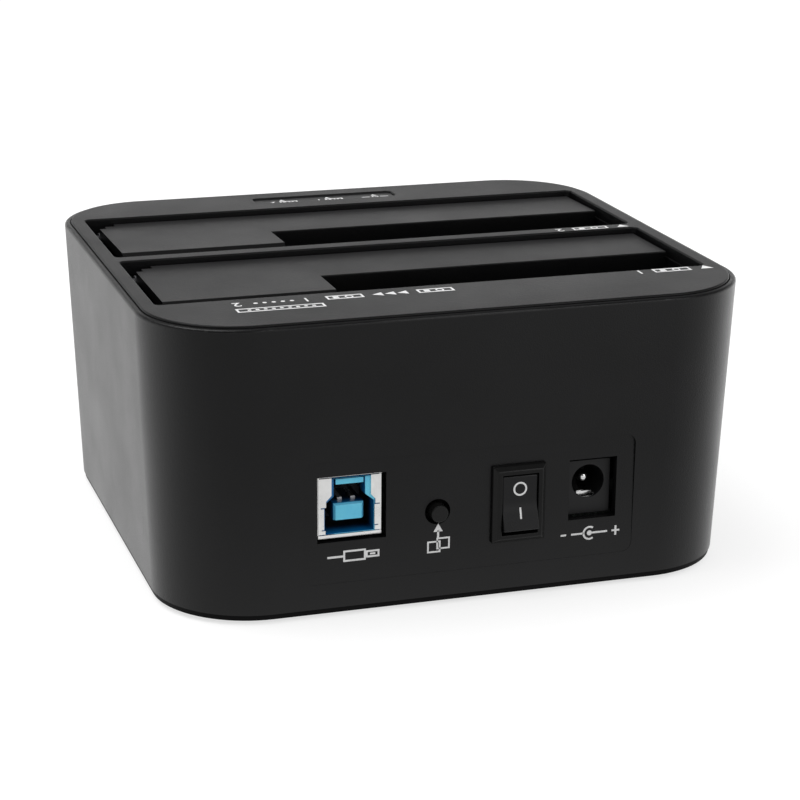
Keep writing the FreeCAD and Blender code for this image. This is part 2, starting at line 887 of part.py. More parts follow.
def screws(name, spots, seat, length, upward, head="head_rad", shaft="screw_rad"):
    """Pan-head screws whose heads' undersides lie at the seat."""
    made = []
    for i, (x, y) in enumerate(spots):
        top = seat if upward else "(%s) + head_tall" % seat
        head_low = "(%s) - head_tall" % (seat if upward else top)
        shaft_low = seat if upward else "(%s) - (%s)" % (seat, length)
        head_disc = cylinder("%s_head_%d" % (name, i), head, (x, y, head_low), "head_tall")
        shaft_rod = cylinder("%s_shaft_%d" % (name, i), shaft, (x, y, shaft_low), length)
        recess = box(
            "%s_slot_%d" % (name, i),
            (x + " - 1.4", y + " - 0.3", head_low + (" - 0.1" if upward else " + head_tall - 0.6")),
            (x + " + 1.4", y + " + 0.3", head_low + (" + 0.6" if upward else " + head_tall + 0.1")),
        )
        made.append(cut("%s_%d" % (name, i), join("%s_body_%d" % (name, i), [head_disc, shaft_rod]), [recess]))
    return piece(name, group(name + "_set", made))


screws("base_screws", POSTS, "foot_proud + head_tall", "base_thick + 7", True)
screws("cradle_screws", BOSSES, "plate_low - boss_tall - ear_thick", "ear_thick + boss_tall - 1.5", True)
screws("board_screws", STANDOFFS, "board_top", "board_thick + 6", False)

# Main board: a plate with a rear tab for the sockets, cut away under the switch
board_body = box("board_body", ("-board_half", "board_front", "board_low"), ("board_half", "tab_start", "board_top"))
board_tab = box("board_tab", ("-tab_half", "tab_start - 1", "board_low"), ("tab_half", "board_back", "board_top"))
switch_notch = box(
    "switch_notch",
    ("switch_place - switch_wide / 2 - 0.6", "panel_back - switch_long - 1", "board_low - 1"),
    ("switch_place + switch_wide / 2 + 0.6", "board_back + 1", "board_top + 1"),
)
board_holes = [
    cylinder("board_hole_%d" % i, "screw_rad + 0.2", (x, y, "board_low - 1"), "board_thick + 2")
    for i, (x, y) in enumerate(STANDOFFS)
]
piece("main_board", cut("board_solid", join("board_joined", [board_body, board_tab]), [switch_notch] + board_holes))


# Upright drive sockets: a wide foot, a narrower shroud and two slots for the drive's tongues
SOCKET_SLOTS = ((7, "-(socket_wide / 2 - 4.2)"), (15, "-(socket_wide / 2 - 15.6)"))


def socket_line(bay):
    return near(bay) + " - socket_setback"


def socket_slot(bay, index, ways, start):
    """The span across X of one slot, from its first way's place."""
    low = "-socket_offset + " + start
    return low, "%s + %d * contact_pitch + 1.2" % (low, ways)


for bay in BAYS:
    line = socket_line(bay)
    foot = box(
        "socket_foot_%d" % bay,
        ("-socket_offset - socket_wide / 2", line + " - socket_foot_deep / 2", "board_top"),
        ("-socket_offset + socket_wide / 2", line + " + socket_foot_deep / 2", "board_top + socket_foot_tall"),
    )
    shroud = box(
        "socket_shroud_%d" % bay,
        ("-socket_offset - socket_wide / 2 + 1.2", line + " - socket_deep / 2", "board_top"),
        ("-socket_offset + socket_wide / 2 - 1.2", line + " + socket_deep / 2", "board_top + socket_tall"),
    )
    slots = []
    blades = []
    for index, (ways, start) in enumerate(SOCKET_SLOTS):
        low, high = socket_slot(bay, index, ways, start)
        slots.append(
            box(
                "socket_slot_%d_%d" % (bay, index),
                (low, line + " - 1.3", "board_top + socket_tall - 7"),
                (high, line + " + 1.3", "board_top + socket_tall + 1"),
            )
        )
        for way in range(ways):
            blade = "%s + 0.93 + %d * contact_pitch" % (low, way)
            blades.append(
                box(
                    "blade_%d_%d_%d" % (bay, index, way),
                    (blade + " - 0.3", line + " + 0.9", "board_top + socket_tall - 7"),
                    (blade + " + 0.3", line + " + 1.3", "board_top + socket_tall - 0.8"),
                )
            )
    piece("sata_housing_%d" % bay, cut("socket_%d" % bay, join("socket_joined_%d" % bay, [foot, shroud]), slots))
    piece("sata_contacts_%d" % bay, group("blades_%d" % bay, blades))


# Type B socket: a metal can with a stepped mouth, a blue insert with two tongues, and its contacts
def stepped(inset):
    """The mouth's outline: wide below, narrower above, with slanted shoulders."""
    middle, low, high = "usb_place", "usb_low", "usb_low + usb_tall"
    wide, slim = "(usb_wide / 2 - 1.55 - %s)" % inset, "(usb_wide / 2 - 2.75 - %s)" % inset
    return [
        (middle + " - " + wide, low + " + 1.1 + " + inset),
        (middle + " + " + wide, low + " + 1.1 + " + inset),
        (middle + " + " + wide, high + " - 5.1 - " + inset),
        (middle + " + " + slim, high + " - 3.5 - " + inset),
        (middle + " + " + slim, high + " - 0.8 - " + inset),
        (middle + " - " + slim, high + " - 0.8 - " + inset),
        (middle + " - " + slim, high + " - 3.5 - " + inset),
        (middle + " - " + wide, high + " - 5.1 - " + inset),
    ]


can = box(
    "can",
    ("usb_place - usb_wide / 2", "usb_face - usb_long", "usb_low"),
    ("usb_place + usb_wide / 2", "usb_face", "usb_low + usb_tall"),
)
can_hollow = box(
    "can_hollow",
    ("usb_place - usb_wide / 2 + usb_skin", "usb_face - usb_long - 1", "usb_low + usb_skin"),
    ("usb_place + usb_wide / 2 - usb_skin", "usb_face - usb_skin", "usb_low + usb_tall - usb_skin"),
)
mouth = prism("mouth", "XZ_Plane", "usb_face - 2", "usb_face + 1", draw_polygon, stepped("0"))
can_slits = [
    box(
        "can_slit_%d" % i,
        ("usb_place + %s" % low, "usb_face - usb_skin - 0.1", "usb_low + %s - 0.07" % rise),
        ("usb_place + %s" % high, "usb_face + 0.1", "usb_low + %s + 0.07" % rise),
    )
    for i, (low, high, rise) in enumerate((("4.4", "5.3", "6.3"), ("-5.3", "-3.9", "6.8")))
]
can_feet = [
    box(
        "can_foot_%d" % i,
        ("usb_place + %d * (usb_wide / 2 - 0.5) - 0.5" % side, "usb_face - 6.5", "board_top - 1.2"),
        ("usb_place + %d * (usb_wide / 2 - 0.5) + 0.5" % side, "usb_face - 4.5", "usb_low + usb_skin"),
    )
    for i, side in enumerate((-1, 1))
]
board_slots = [
    box(
        "can_foot_hole_%d" % i,
        ("usb_place + %d * (usb_wide / 2 - 0.5) - 0.7" % side, "usb_face - 6.7", "board_low - 1"),
        ("usb_place + %d * (usb_wide / 2 - 0.5) + 0.7" % side, "usb_face - 4.3", "board_top + 1"),
    )
    for i, side in enumerate((-1, 1))
]
piece("usb_shell", cut("usb_can", join("can_joined", [can] + can_feet), [can_hollow, mouth] + can_slits))
insert = box(
    "insert",
    ("usb_place - usb_wide / 2 + usb_skin", "usb_face - usb_long", "usb_low + usb_skin"),
    ("usb_place + usb_wide / 2 - usb_skin", "usb_face - usb_skin", "usb_low + usb_tall - usb_skin"),
)
insert_hollow = prism("insert_hollow", "XZ_Plane", "usb_face - 9.5", "usb_face + 1", draw_polygon, stepped("0.35"))
tongue = box(
    "tongue",
    ("usb_place - 3.1", "usb_face - 10", "usb_low + 2.75"),
    ("usb_place + 2.7", "usb_face - 1.4", "usb_low + 6.4"),
)
upper_tongue = box(
    "upper_tongue",
    ("usb_place - 2.7", "usb_face - 10", "usb_low + usb_tall - 2.3"),
    ("usb_place + 2.6", "usb_face - usb_skin - 0.05", "usb_low + usb_tall - 0.9"),
)
piece("usb_insulator", join("usb_insert", [cut("insert_body", insert, [insert_hollow]), tongue, upper_tongue]))
usb_blades = []
for i, offset in enumerate((-1.25, 1.25)):
    for side, low, high in (("top", "usb_low + 6.4", "usb_low + 6.65"), ("under", "usb_low + 2.5", "usb_low + 2.75")):
        usb_blades.append(
            box(
                "usb_blade_%s_%d" % (side, i),
                ("usb_place + %s - 0.65" % offset, "usb_face - 9.5", low),
                ("usb_place + %s + 0.25" % offset, "usb_face - 1.7", high),
            )
        )
for i in range(-2, 3):
    usb_blades.append(
        box(
            "usb_fast_blade_%d" % (i + 2),
            ("usb_place + %d - 0.25" % i, "usb_face - 9.5", "usb_low + usb_tall - 2.5"),
            ("usb_place + %d + 0.25" % i, "usb_face - 2.2", "usb_low + usb_tall - 2.3"),
        )
    )
piece("usb_contacts", group("usb_blades", usb_blades))

# Power socket: a square block with a round well, a centre pin and a spring leaf below it
jack_block = box(
    "jack_block",
    ("jack_place - jack_wide / 2", "jack_face - jack_long", "board_top"),
    ("jack_place + jack_wide / 2", "jack_face", "board_top + jack_tall"),
)
jack_well = cylinder("jack_well", "jack_hole", ("jack_place", "jack_face - 9.5", "jack_middle"), "10.5", "y")
jack_pin_hole = cylinder("jack_pin_hole", "jack_pin", ("jack_place", "jack_face - 12.5", "jack_middle"), "4", "y")
leaf_low = "jack_middle - jack_hole"
leaf_slot = box(
    "leaf_slot",
    ("jack_place - 1.6", "jack_face - 9.5", leaf_low + " - 0.3"),
    ("jack_place + 1.6", "jack_face - 0.6", "jack_middle"),
)
piece("dc_jack_body", cut("jack_solid", jack_block, [jack_well, jack_pin_hole, leaf_slot]))
piece(
    "dc_jack_pin",
    cylinder("centre_pin", "jack_pin", ("jack_place", "jack_face - 12.5", "jack_middle"), "12.5 - 0.9", "y"),
)
piece(
    "dc_jack_contact",
    box(
        "spring_leaf",
        ("jack_place - 1.5", "jack_face - 9.5", leaf_low + " - 0.3"),
        ("jack_place + 1.5", "jack_face - 0.7", leaf_low + " + 0.4"),
    ),
)

# Rocker switch: a framed housing through the panel and a rocker on two stub pins
bezel_blank = box(
    "bezel_blank",
    ("switch_place - bezel_wide / 2", "panel_back", "switch_middle - bezel_tall / 2"),
    ("switch_place + bezel_wide / 2", "bezel_front", "switch_middle + bezel_tall / 2"),
)
doc.recompute()
bezel_face = value("bezel_front")
bezel = softened("bezel", bezel_blank, "bezel_chamfer", lambda edge: level(edge, "Y", bezel_face), "Part::Chamfer")
switch_block = box(
    "switch_block",
    ("switch_place - switch_wide / 2", "panel_back - switch_long", "switch_middle - switch_tall / 2"),
    ("switch_place + switch_wide / 2", "panel_back + 0.1", "switch_middle + switch_tall / 2"),
)
switch_hollow = box(
    "switch_hollow",
    ("switch_place - rocker_wide / 2 - rocker_play", "pivot_deep - 7", "switch_middle - rocker_rad - 0.12"),
    ("switch_place + rocker_wide / 2 + rocker_play", "bezel_front + 1", "switch_middle + rocker_rad + 0.12"),
)
pivot_holes = cylinder(
    "pivot_holes", "0.85", ("switch_place - switch_wide / 2 + 0.3", "pivot_deep", "switch_middle"), "switch_wide - 0.6", "x"
)
piece("switch_housing", cut("switch_solid", join("switch_joined", [bezel, switch_block]), [switch_hollow, pivot_holes]))

rocker_round = cylinder(
    "rocker_round", "rocker_rad", ("switch_place - rocker_wide / 2", "pivot_deep", "switch_middle"), "rocker_wide", "x"
)
rocker_face = "(bezel_front - rocker_sink)"
rocker_over = "(rocker_rad + 1.3)"
# The face bends in a parabola from its upright half to its slanted one
rocker_bend = [
    (
        "%s + crease_half * %s * tan(rocker_tilt)" % (rocker_face, (step / 4) ** 2),
        "switch_middle + crease_half * %s" % (1 - step / 2),
    )
    for step in range(5)
]
rocker_profile = prism(
    "rocker_profile",
    "YZ_Plane",
    "switch_place - rocker_wide / 2",
    "switch_place + rocker_wide / 2",
    draw_polygon,
    [
        (rocker_face, "switch_middle + " + rocker_over),
        *rocker_bend,
        (rocker_face + " + %s * tan(rocker_tilt)" % rocker_over, "switch_middle - " + rocker_over),
        ("pivot_deep - 1", "switch_middle - " + rocker_over),
        ("pivot_deep - 5", "switch_middle - 1.5"),
        ("pivot_deep - 5", "switch_middle + 1.5"),
        ("pivot_deep - 3", "switch_middle + " + rocker_over),
    ],
)
rocker_core = doc.addObject("Part::Common", "rocker_core")
rocker_core.Base = rocker_round
rocker_core.Tool = rocker_profile
stub = cylinder(
    "rocker_stub", "0.8", ("switch_place - switch_wide / 2 + 0.4", "pivot_deep", "switch_middle"), "switch_wide - 0.8", "x"
)
piece("rocker", join("rocker_joined", [rocker_core, stub]))
TERMINAL_RISES = (3.0, -3.0)
piece(
    "switch_terminals",
    group(
        "terminals",
        [
            box(
                "terminal_%d" % i,
                ("switch_place - 1.4", "panel_back - switch_long - 4.8", "switch_middle + %s - 0.25" % rise),
                ("switch_place + 1.4", "panel_back - switch_long", "switch_middle + %s + 0.25" % rise),
            )
            for i, rise in enumerate(TERMINAL_RISES)
        ],
    ),
)

# Clone button: a long stem that slides in the push switch behind the panel
tact_front = "panel_back - 4.6"
tact_block = box(
    "tact_block",
    ("button_place - tact_wide / 2", tact_front + " - tact_long", "board_top"),
    ("button_place + tact_wide / 2", tact_front, "button_middle + tact_wide / 2"),
)
tact_hole = cylinder(
    "tact_hole", "button_rad + 0.08", ("button_place", tact_front + " - 2.6", "button_middle"), "3", "y"
)
piece("tact_switch", cut("tact_solid", tact_block, [tact_hole]))
stem = cylinder(
    "stem",
    "button_rad",
    ("button_place", tact_front + " - 1.6", "button_middle"),
    "panel_back + button_proud - (%s - 1.6)" % tact_front,
    "y",
)
doc.recompute()
stem_tip = value("panel_back + button_proud")
piece("clone_button", softened("stem_rounded", stem, "0.3", lambda edge: level(edge, "Y", stem_tip)))

# Light board under the strip, with its three lights
light_board = box(
    "light_board",
    ("-(light_wide / 2 + 1.4)", "light_middle - 3.2", light_board_top + " - 1.2"),
    ("light_wide / 2 + 1.4", "light_middle + 3.2", light_board_top),
)
light_board_holes = [
    cylinder("light_board_hole_%d" % i, "1.0", (x, "light_middle", light_board_top + " - 2"), "3")
    for i, x in enumerate(LIGHT_BOARD_SCREWS)
]
piece("led_board", cut("light_board_solid", light_board, light_board_holes))
piece(
    "status_leds",
    group(
        "lights",
        [
            box(
                "light_%d" % i,
                ("%d * light_pitch - 1.0" % i, "light_middle - 0.8", light_board_top),
                ("%d * light_pitch + 1.0" % i, "light_middle + 0.8", light_board_top + " + 1.4"),
            )
            for i in (-1, 0, 1)
        ],
    ),
)
screws(
    "led_board_screws",
    [(x, "light_middle") for x in LIGHT_BOARD_SCREWS],
    light_board_top + " - 1.2",
    "1.2 + 2.2",
    True,
    head="1.6",
    shaft="0.8",
)


def bent_path(points, radius):
    """Straight runs joined by arcs that are tangent to both."""
    edges = []
    start = points[0]
    for before, corner, after in zip(points, points[1:], points[2:]):
        back = (before - corner).normalize()
        on = (after - corner).normalize()
        half = back.getAngle(on) / 2
        reach = radius / math.tan(half)
        arc_start = corner + back * reach
        arc_end = corner + on * reach
        middle = corner + (back + on).normalize() * (radius / math.sin(half) - radius)
        edges.append(Part.LineSegment(start, arc_start).toShape())
        edges.append(Part.Arc(arc_start, middle, arc_end).toShape())
        start = arc_end
    edges.append(Part.LineSegment(start, points[-1]).toShape())
    return Part.Wire(edges)


def wire_solid(points, radius, bend):
    """A round wire along a bent path."""
    path = bent_path(points, bend)
    direction = points[1] - points[0]
    ring = Part.Wire([Part.makeCircle(radius, points[0], direction)])
    return path.makePipeShell([ring], True, False)


# Ribbon from the light board down to the header on the main board
ribbon_line = "(light_middle + 2.2)"
header_front = "(board_front + 0.5)"
ribbon_header = box(
    "ribbon_header_block",
    ("-4", header_front, "board_top"),
    ("4", header_front + " + 3.2", "board_top + 3.6"),
)


def ribbon():
    top = Vector(0, value(ribbon_line), value(light_board_top + " - 1.2"))
    low = value("board_top + 2.0")
    corner = Vector(0, top.y, low)
    end = Vector(0, value(header_front), low)
    path = bent_path([top, corner, end], 5.0)
    strip = Part.makePolygon(
        [top + Vector(x, y, 0) for x, y in ((-2.5, -0.3), (2.5, -0.3), (2.5, 0.3), (-2.5, 0.3), (-2.5, -0.3))]
    )
    return path.makePipeShell([strip], True, False)


piece("led_ribbon", shape_feature("ribbon", ribbon()))

# Two wires from the switch's terminals to the header beside the board's switch notch
header_left = "(switch_place + 7.8)"
wire_line = "(panel_back - switch_long - 6.2)"
switch_header = box(
    "switch_header_block",
    (header_left, wire_line + " - 1.6", "board_top"),
    (header_left + " + 3.2", wire_line + " + 1.6", "board_top + 4.2"),
)
piece("board_headers", group("headers", [ribbon_header, switch_header]))


def switch_wires():
    made = []
    tip = value("panel_back - switch_long - 4.8")
    line = value(wire_line)
    place = value("switch_place")
    into = value(header_left)
    for rise in TERMINAL_RISES:
        height = value("switch_middle + %s" % rise)
        points = [Vector(place, tip, height), Vector(place, line, height)]
        if rise > 0:
            points += [Vector(into + 1.6, line, height), Vector(into + 1.6, line, value("board_top + 4.2"))]
        else:
            points += [Vector(into, line, height)]
        made.append(wire_solid(points, 0.55, 1.1))
    return Part.Compound(made)


piece("switch_wires", shape_feature("wires", switch_wires()))

# Chips and other parts on the main board, between and beside the sockets
CHIPS = {
    "bridge_chip": ((24.0, 0.0, 10.0, 10.0, 1.2),),
    "flash_chip": ((38.0, 0.0, 6.0, 5.0, 1.6),),
    "crystal_can": ((24.0, -11.0, 11.0, 4.6, 3.4),),
    "regulator_chips": ((-12.0, 6.5, 5.0, 4.0, 1.5), (-26.0, 6.5, 5.0, 4.0, 1.5), (34.0, -24.0, 6.5, 6.0, 2.2)),
    "power_inductors": ((-14.0, -0.5, 7.0, 7.0, 3.2), (-28.0, -0.5, 7.0, 7.0, 3.2)),
}
for name, blocks in CHIPS.items():
    solids = []
    for i, (x, y, across, deep, tall) in enumerate(blocks):
        solids.append(
            box(
                "%s_block_%d" % (name, i),
                ("%s - %s / 2" % (x, across), "chip_line + %s - %s / 2" % (y, deep), "board_top"),
                ("%s + %s / 2" % (x, across), "chip_line + %s + %s / 2" % (y, deep), "board_top + %s" % tall),
            )
        )
    piece(name, group(name + "_set", solids))
CAPACITORS = (-34.0, -24.0, -14.0, 22.0)
piece(
    "capacitors",
    group(
        "capacitor_set",
        [
            cylinder("capacitor_%d" % i, "3.15", (x, "capacitor_line", "board_top"), "6.6")
            for i, x in enumerate(CAPACITORS)
        ],
    ),
)

# The board needs slots for the can's feet, so it is cut once more
board = [item for item in PIECES if item.Label == "main_board"][0]
PIECES.remove(board)
board.Label = "main_board_blank"
piece("main_board", cut("board_with_slots", board, board_slots))

doc.recompute()

broken = [item.Name for item in doc.Objects if "Invalid" in item.State or "Error" in item.State]
if broken:
    raise SystemExit("these objects failed: %s" % broken)
os.makedirs("parts", exist_ok=True)
for item in PIECES:
    shape = item.Shape
    if shape.isNull() or not shape.isValid() or not shape.Solids:
        raise SystemExit("%s has no valid solid" % item.Label)
for item in PIECES:
    item.Shape.exportStep("parts/%s.step" % item.Label)
    print(item.Label, len(item.Shape.Solids), "solids, volume", round(item.Shape.Volume, 2))
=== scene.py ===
# Two-bay hard drive dock seen from behind: a black moulded sleeve on a base plate, a top plate
# with two bays under sprung flaps, and a row of sockets and switches low on the back.
import json
import math
import random

import bmesh
import bpy
from mathutils import Matrix, Vector


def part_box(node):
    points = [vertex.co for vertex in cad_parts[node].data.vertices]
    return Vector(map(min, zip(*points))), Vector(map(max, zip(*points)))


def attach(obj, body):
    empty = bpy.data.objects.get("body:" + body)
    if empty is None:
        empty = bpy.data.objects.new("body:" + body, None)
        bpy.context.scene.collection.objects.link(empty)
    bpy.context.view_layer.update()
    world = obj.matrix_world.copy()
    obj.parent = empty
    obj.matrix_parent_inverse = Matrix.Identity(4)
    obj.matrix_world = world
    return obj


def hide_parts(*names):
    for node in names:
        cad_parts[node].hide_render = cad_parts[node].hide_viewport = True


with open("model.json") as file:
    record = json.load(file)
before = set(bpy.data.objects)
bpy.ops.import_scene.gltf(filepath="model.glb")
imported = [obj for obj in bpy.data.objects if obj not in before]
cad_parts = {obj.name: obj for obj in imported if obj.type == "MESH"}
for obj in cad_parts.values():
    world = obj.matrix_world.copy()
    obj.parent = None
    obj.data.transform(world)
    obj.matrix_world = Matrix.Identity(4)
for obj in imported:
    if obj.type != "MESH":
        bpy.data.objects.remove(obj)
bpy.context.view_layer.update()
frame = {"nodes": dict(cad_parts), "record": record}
nodes = frame["nodes"]
mm = 0.001

# The camera looks at the dock's back from a little above the top plate, and from the side
# where the square data socket is. It is a long lens, far enough off to flatten the box.
camera_azimuth = math.radians(162.09)
camera_height = math.radians(17.38)
camera_roll = math.radians(0.48)
camera_place = (0.135875, 0.429443, 0.164979)
camera_data = bpy.data.cameras.new("camera")
camera_data.sensor_width = 36
camera_data.lens = 104.16
camera_data.clip_start = 0.01
camera = bpy.data.objects.new("camera", camera_data)
towards_camera = Vector(
    (
        math.sin(camera_azimuth) * math.cos(camera_height),
        -math.cos(camera_azimuth) * math.cos(camera_height),
        math.sin(camera_height),
    )
)
camera_turn = towards_camera.to_track_quat("Z", "Y").to_matrix() @ Matrix.Rotation(camera_roll, 3, "Z")
camera.matrix_world = Matrix.Translation(camera_place) @ camera_turn.to_4x4()
bpy.context.scene.collection.objects.link(camera)
bpy.context.scene.camera = camera


# The studio: a white floor and a white surround under a darker ceiling, with one broad soft
# lamp over the dock and a weaker one behind the camera, so the black faces are drawn by what
# they reflect.
def plug(tree, value, socket):
    """Links an output to a socket, or sets a plain value on it."""
    if isinstance(value, bpy.types.NodeSocket):
        tree.links.new(value, socket)
    else:
        socket.default_value = value


def ranged(tree, value, low, high, start=0.0, end=1.0, smooth=False):
    """Carries a value from one range to another, held at both ends."""
    node = tree.nodes.new("ShaderNodeMapRange")
    node.interpolation_type = "SMOOTHSTEP" if smooth else "LINEAR"
    given = {"Value": value, "From Min": low, "From Max": high, "To Min": start, "To Max": end}
    for name, number in given.items():
        plug(tree, number, node.inputs[name])
    return node.outputs["Result"]


def worked(tree, operation, *values):
    """The result of one sum or test on two or three values."""
    node = tree.nodes.new("ShaderNodeMath")
    node.operation = operation
    for value, socket in zip(values, node.inputs):
        plug(tree, value, socket)
    return node.outputs[0]


def coordinate(tree, kind, axis):
    """One part of a surface point's place, or of the way the surface faces."""
    whole = tree.nodes.new("ShaderNodeTexCoord")
    parts = tree.nodes.new("ShaderNodeSeparateXYZ")
    tree.links.new(whole.outputs[kind], parts.inputs[0])
    return parts.outputs[axis]


bpy.context.scene.view_settings.view_transform = "Standard"
world = bpy.data.worlds.new("surround")
bpy.context.scene.world = world
world.use_nodes = True
surround = world.node_tree
surround_level = 0.62
wall_level, wall_top = 1.15, 0.15
ceiling_level, ceiling_start = 0.25, 0.32
rays = surround.nodes.new("ShaderNodeLightPath").outputs
seen = worked(surround, "MAXIMUM", rays["Is Camera Ray"], rays["Is Transmission Ray"])
lit_or_seen = ranged(surround, seen, 0, 1, surround_level, 1.0)
rise = coordinate(surround, "Generated", "Z")
mirrored = ranged(surround, rise, wall_top, ceiling_start, wall_level, ceiling_level, smooth=True)
level = ranged(surround, rays["Is Glossy Ray"], 0, 1, lit_or_seen, mirrored)
background = surround.nodes["Background"].inputs
background["Color"].default_value = (1, 1, 1, 1)
plug(surround, level, background["Strength"])

floor_mesh = bmesh.new()
bmesh.ops.create_grid(floor_mesh, x_segments=1, y_segments=1, size=6.0)
floor_data = bpy.data.meshes.new("floor")
floor_mesh.to_mesh(floor_data)
floor_mesh.free()
floor = bpy.data.objects.new("floor", floor_data)
bpy.context.scene.collection.objects.link(floor)
floor_paint = bpy.data.materials.new("floor_white")
floor_paint.use_nodes = True
ground = floor_paint.node_tree
ground_shader = ground.nodes["Principled BSDF"]
ground_shader.inputs["Base Color"].default_value = (0.45, 0.45, 0.45, 1)
ground_shader.inputs["Roughness"].default_value = 0.9
ground_shader.inputs["Specular IOR Level"].default_value = 0.0
ground_shader.inputs["Emission Color"].default_value = (1, 1, 1, 1)
seen_glow = 0.68
rays = ground.nodes.new("ShaderNodeLightPath").outputs
glow = worked(ground, "MULTIPLY", rays["Is Camera Ray"], seen_glow)
plug(ground, glow, ground_shader.inputs["Emission Strength"])

# The mirrored floor is bright beyond the dock and past its far side, and darker near the camera
beyond_level, near_level = 1.12, 0.62
far_side_gain = 1.4
fade = ranged(ground, coordinate(ground, "Object", "Y"), 0.0, 0.12, beyond_level, near_level)
gain = ranged(ground, coordinate(ground, "Object", "X"), -0.2, -0.06, far_side_gain, 1.0)
mirrored_floor = ground.nodes.new("ShaderNodeEmission")
plug(ground, worked(ground, "MULTIPLY", fade, gain), mirrored_floor.inputs["Strength"])
reflected = worked(ground, "MAXIMUM", rays["Is Glossy Ray"], rays["Is Transmission Ray"])
choice = ground.nodes.new("ShaderNodeMixShader")
plug(ground, reflected, choice.inputs[0])
plug(ground, ground_shader.outputs[0], choice.inputs[1])
plug(ground, mirrored_floor.outputs[0], choice.inputs[2])
plug(ground, choice.outputs[0], ground.nodes["Material Output"].inputs["Surface"])
floor.data.materials.append(floor_paint)


def soft_lamp(name, place, aim, width, power):
    """A square lamp that faces a point of the dock."""
    data = bpy.data.lights.new(name, "AREA")
    data.shape = "SQUARE"
    data.size = width
    data.energy = power
    lamp = bpy.data.objects.new(name, data)
    turn = (Vector(place) - Vector(aim)).to_track_quat("Z", "Y").to_matrix().to_4x4()
    lamp.matrix_world = Matrix.Translation(place) @ turn
    bpy.context.scene.collection.objects.link(lamp)


soft_lamp("lamp_above", (0.35, -0.15, 0.95), (0, 0, 0.03), 0.7, 5.0)
soft_lamp("lamp_behind_camera", (-0.5, 0.9, 0.7), (0, 0.03, 0.03), 0.5, 2.0)


# Shell: one deep sleeve of black plastic, moulded with a fine spark texture and a slight
# draft, so its faces are matte but its round corners still catch the white surround.
def fine_grain():
    """A fine texture: pits, and a soft mottling of the tone and the gloss."""
    group = bpy.data.node_groups.new("fine_grain", "ShaderNodeTree")
    for name in ("Grain", "Mottle", "Rough Low", "Rough High"):
        group.interface.new_socket(name, in_out="INPUT", socket_type="NodeSocketFloat")
    for name in ("Height", "Roughness", "Tone"):
        group.interface.new_socket(name, in_out="OUTPUT", socket_type="NodeSocketFloat")
    given = group.nodes.new("NodeGroupInput").outputs
    made = group.nodes.new("NodeGroupOutput").inputs
    place = group.nodes.new("ShaderNodeTexCoord").outputs["Object"]
    noises = []
    for size, detail in (("Grain", 3), ("Mottle", 4)):
        noise = group.nodes.new("ShaderNodeTexNoise")
        noise.inputs["Detail"].default_value = detail
        plug(group, place, noise.inputs["Vector"])
        plug(group, given[size], noise.inputs["Scale"])
        noises.append(noise.outputs["Fac"])
    pits, mottle = noises
    plug(group, pits, made["Height"])
    plug(group, ranged(group, mottle, 0.3, 0.7, given["Rough Low"], given["Rough High"]), made["Roughness"])
    plug(group, ranged(group, mottle, 0.35, 0.65), made["Tone"])
    return group


grain_group = fine_grain()


def mixed(tree, amount, first, second):
    """A colour between two others, each a plain colour or an output."""
    node = tree.nodes.new("ShaderNodeMix")
    node.data_type = "RGBA"
    plug(tree, amount, node.inputs[0])
    for colour, socket in ((first, node.inputs[6]), (second, node.inputs[7])):
        plug(tree, colour if isinstance(colour, bpy.types.NodeSocket) else (*colour, 1), socket)
    return node.outputs[2]


def bumped(tree, height, depth, strength=1.0):
    """Gives a paint's shader a relief from a height between 0 and 1."""
    bump = tree.nodes.new("ShaderNodeBump")
    bump.inputs["Distance"].default_value = depth
    bump.inputs["Strength"].default_value = strength
    plug(tree, height, bump.inputs["Height"])
    plug(tree, bump.outputs["Normal"], tree.nodes["Principled BSDF"].inputs["Normal"])


def grained(name, dark, light, rough, depth, shine=0.5, grain=6000.0, mottle=60.0, metal=0.0):
    """A finish between two close colours, with a range of roughness and a depth of grain."""
    paint = bpy.data.materials.new(name)
    paint.use_nodes = True
    tree = paint.node_tree
    shader = tree.nodes["Principled BSDF"].inputs
    shader["Specular IOR Level"].default_value = shine
    shader["Metallic"].default_value = metal
    texture = tree.nodes.new("ShaderNodeGroup")
    texture.node_tree = grain_group
    given = {"Grain": grain, "Mottle": mottle, "Rough Low": rough[0], "Rough High": rough[1]}
    for socket, number in given.items():
        texture.inputs[socket].default_value = number
    plug(tree, mixed(tree, texture.outputs["Tone"], dark, light), shader["Base Color"])
    plug(tree, texture.outputs["Roughness"], shader["Roughness"])
    bumped(tree, texture.outputs["Height"], depth, 0.6)
    return paint


def shown(name, shape, paint, corner_angle):
    """Puts a bmesh in the scene, smooth except at corners sharper than an angle."""
    data = bpy.data.meshes.new(name)
    shape.to_mesh(data)
    shape.free()
    for face in data.polygons:
        face.use_smooth = True
    data.set_sharp_from_angle(angle=corner_angle)
    data.materials.append(paint)
    piece = bpy.data.objects.new(name, data)
    bpy.context.scene.collection.objects.link(piece)
    return piece


def eased(name, paint, width, segments=2, reshape=None):
    """Stands in for a CAD piece, in its shape but with its sharp edges broken by a small round."""
    corner_angle = math.radians(28)
    shape = bmesh.new()
    shape.from_mesh(nodes[name].data)
    bmesh.ops.remove_doubles(shape, verts=shape.verts, dist=1e-6)
    bmesh.ops.dissolve_limit(shape, angle_limit=math.radians(0.5), verts=shape.verts, edges=shape.edges)
    if reshape:
        reshape(shape)
    piece = shown(name + "_eased", shape, paint, corner_angle)
    rounding = piece.modifiers.new("edge_round", "BEVEL")
    rounding.width = width
    rounding.segments = segments
    rounding.limit_method = "ANGLE"
    rounding.angle_limit = corner_angle
    flatten = piece.modifiers.new("flat_faces", "WEIGHTED_NORMAL")
    flatten.keep_sharp = True
    bodies = frame["record"]["behaviour"]["bodies"]
    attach(piece, next(body for body in bodies if name in bodies[body]))
    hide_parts(name)


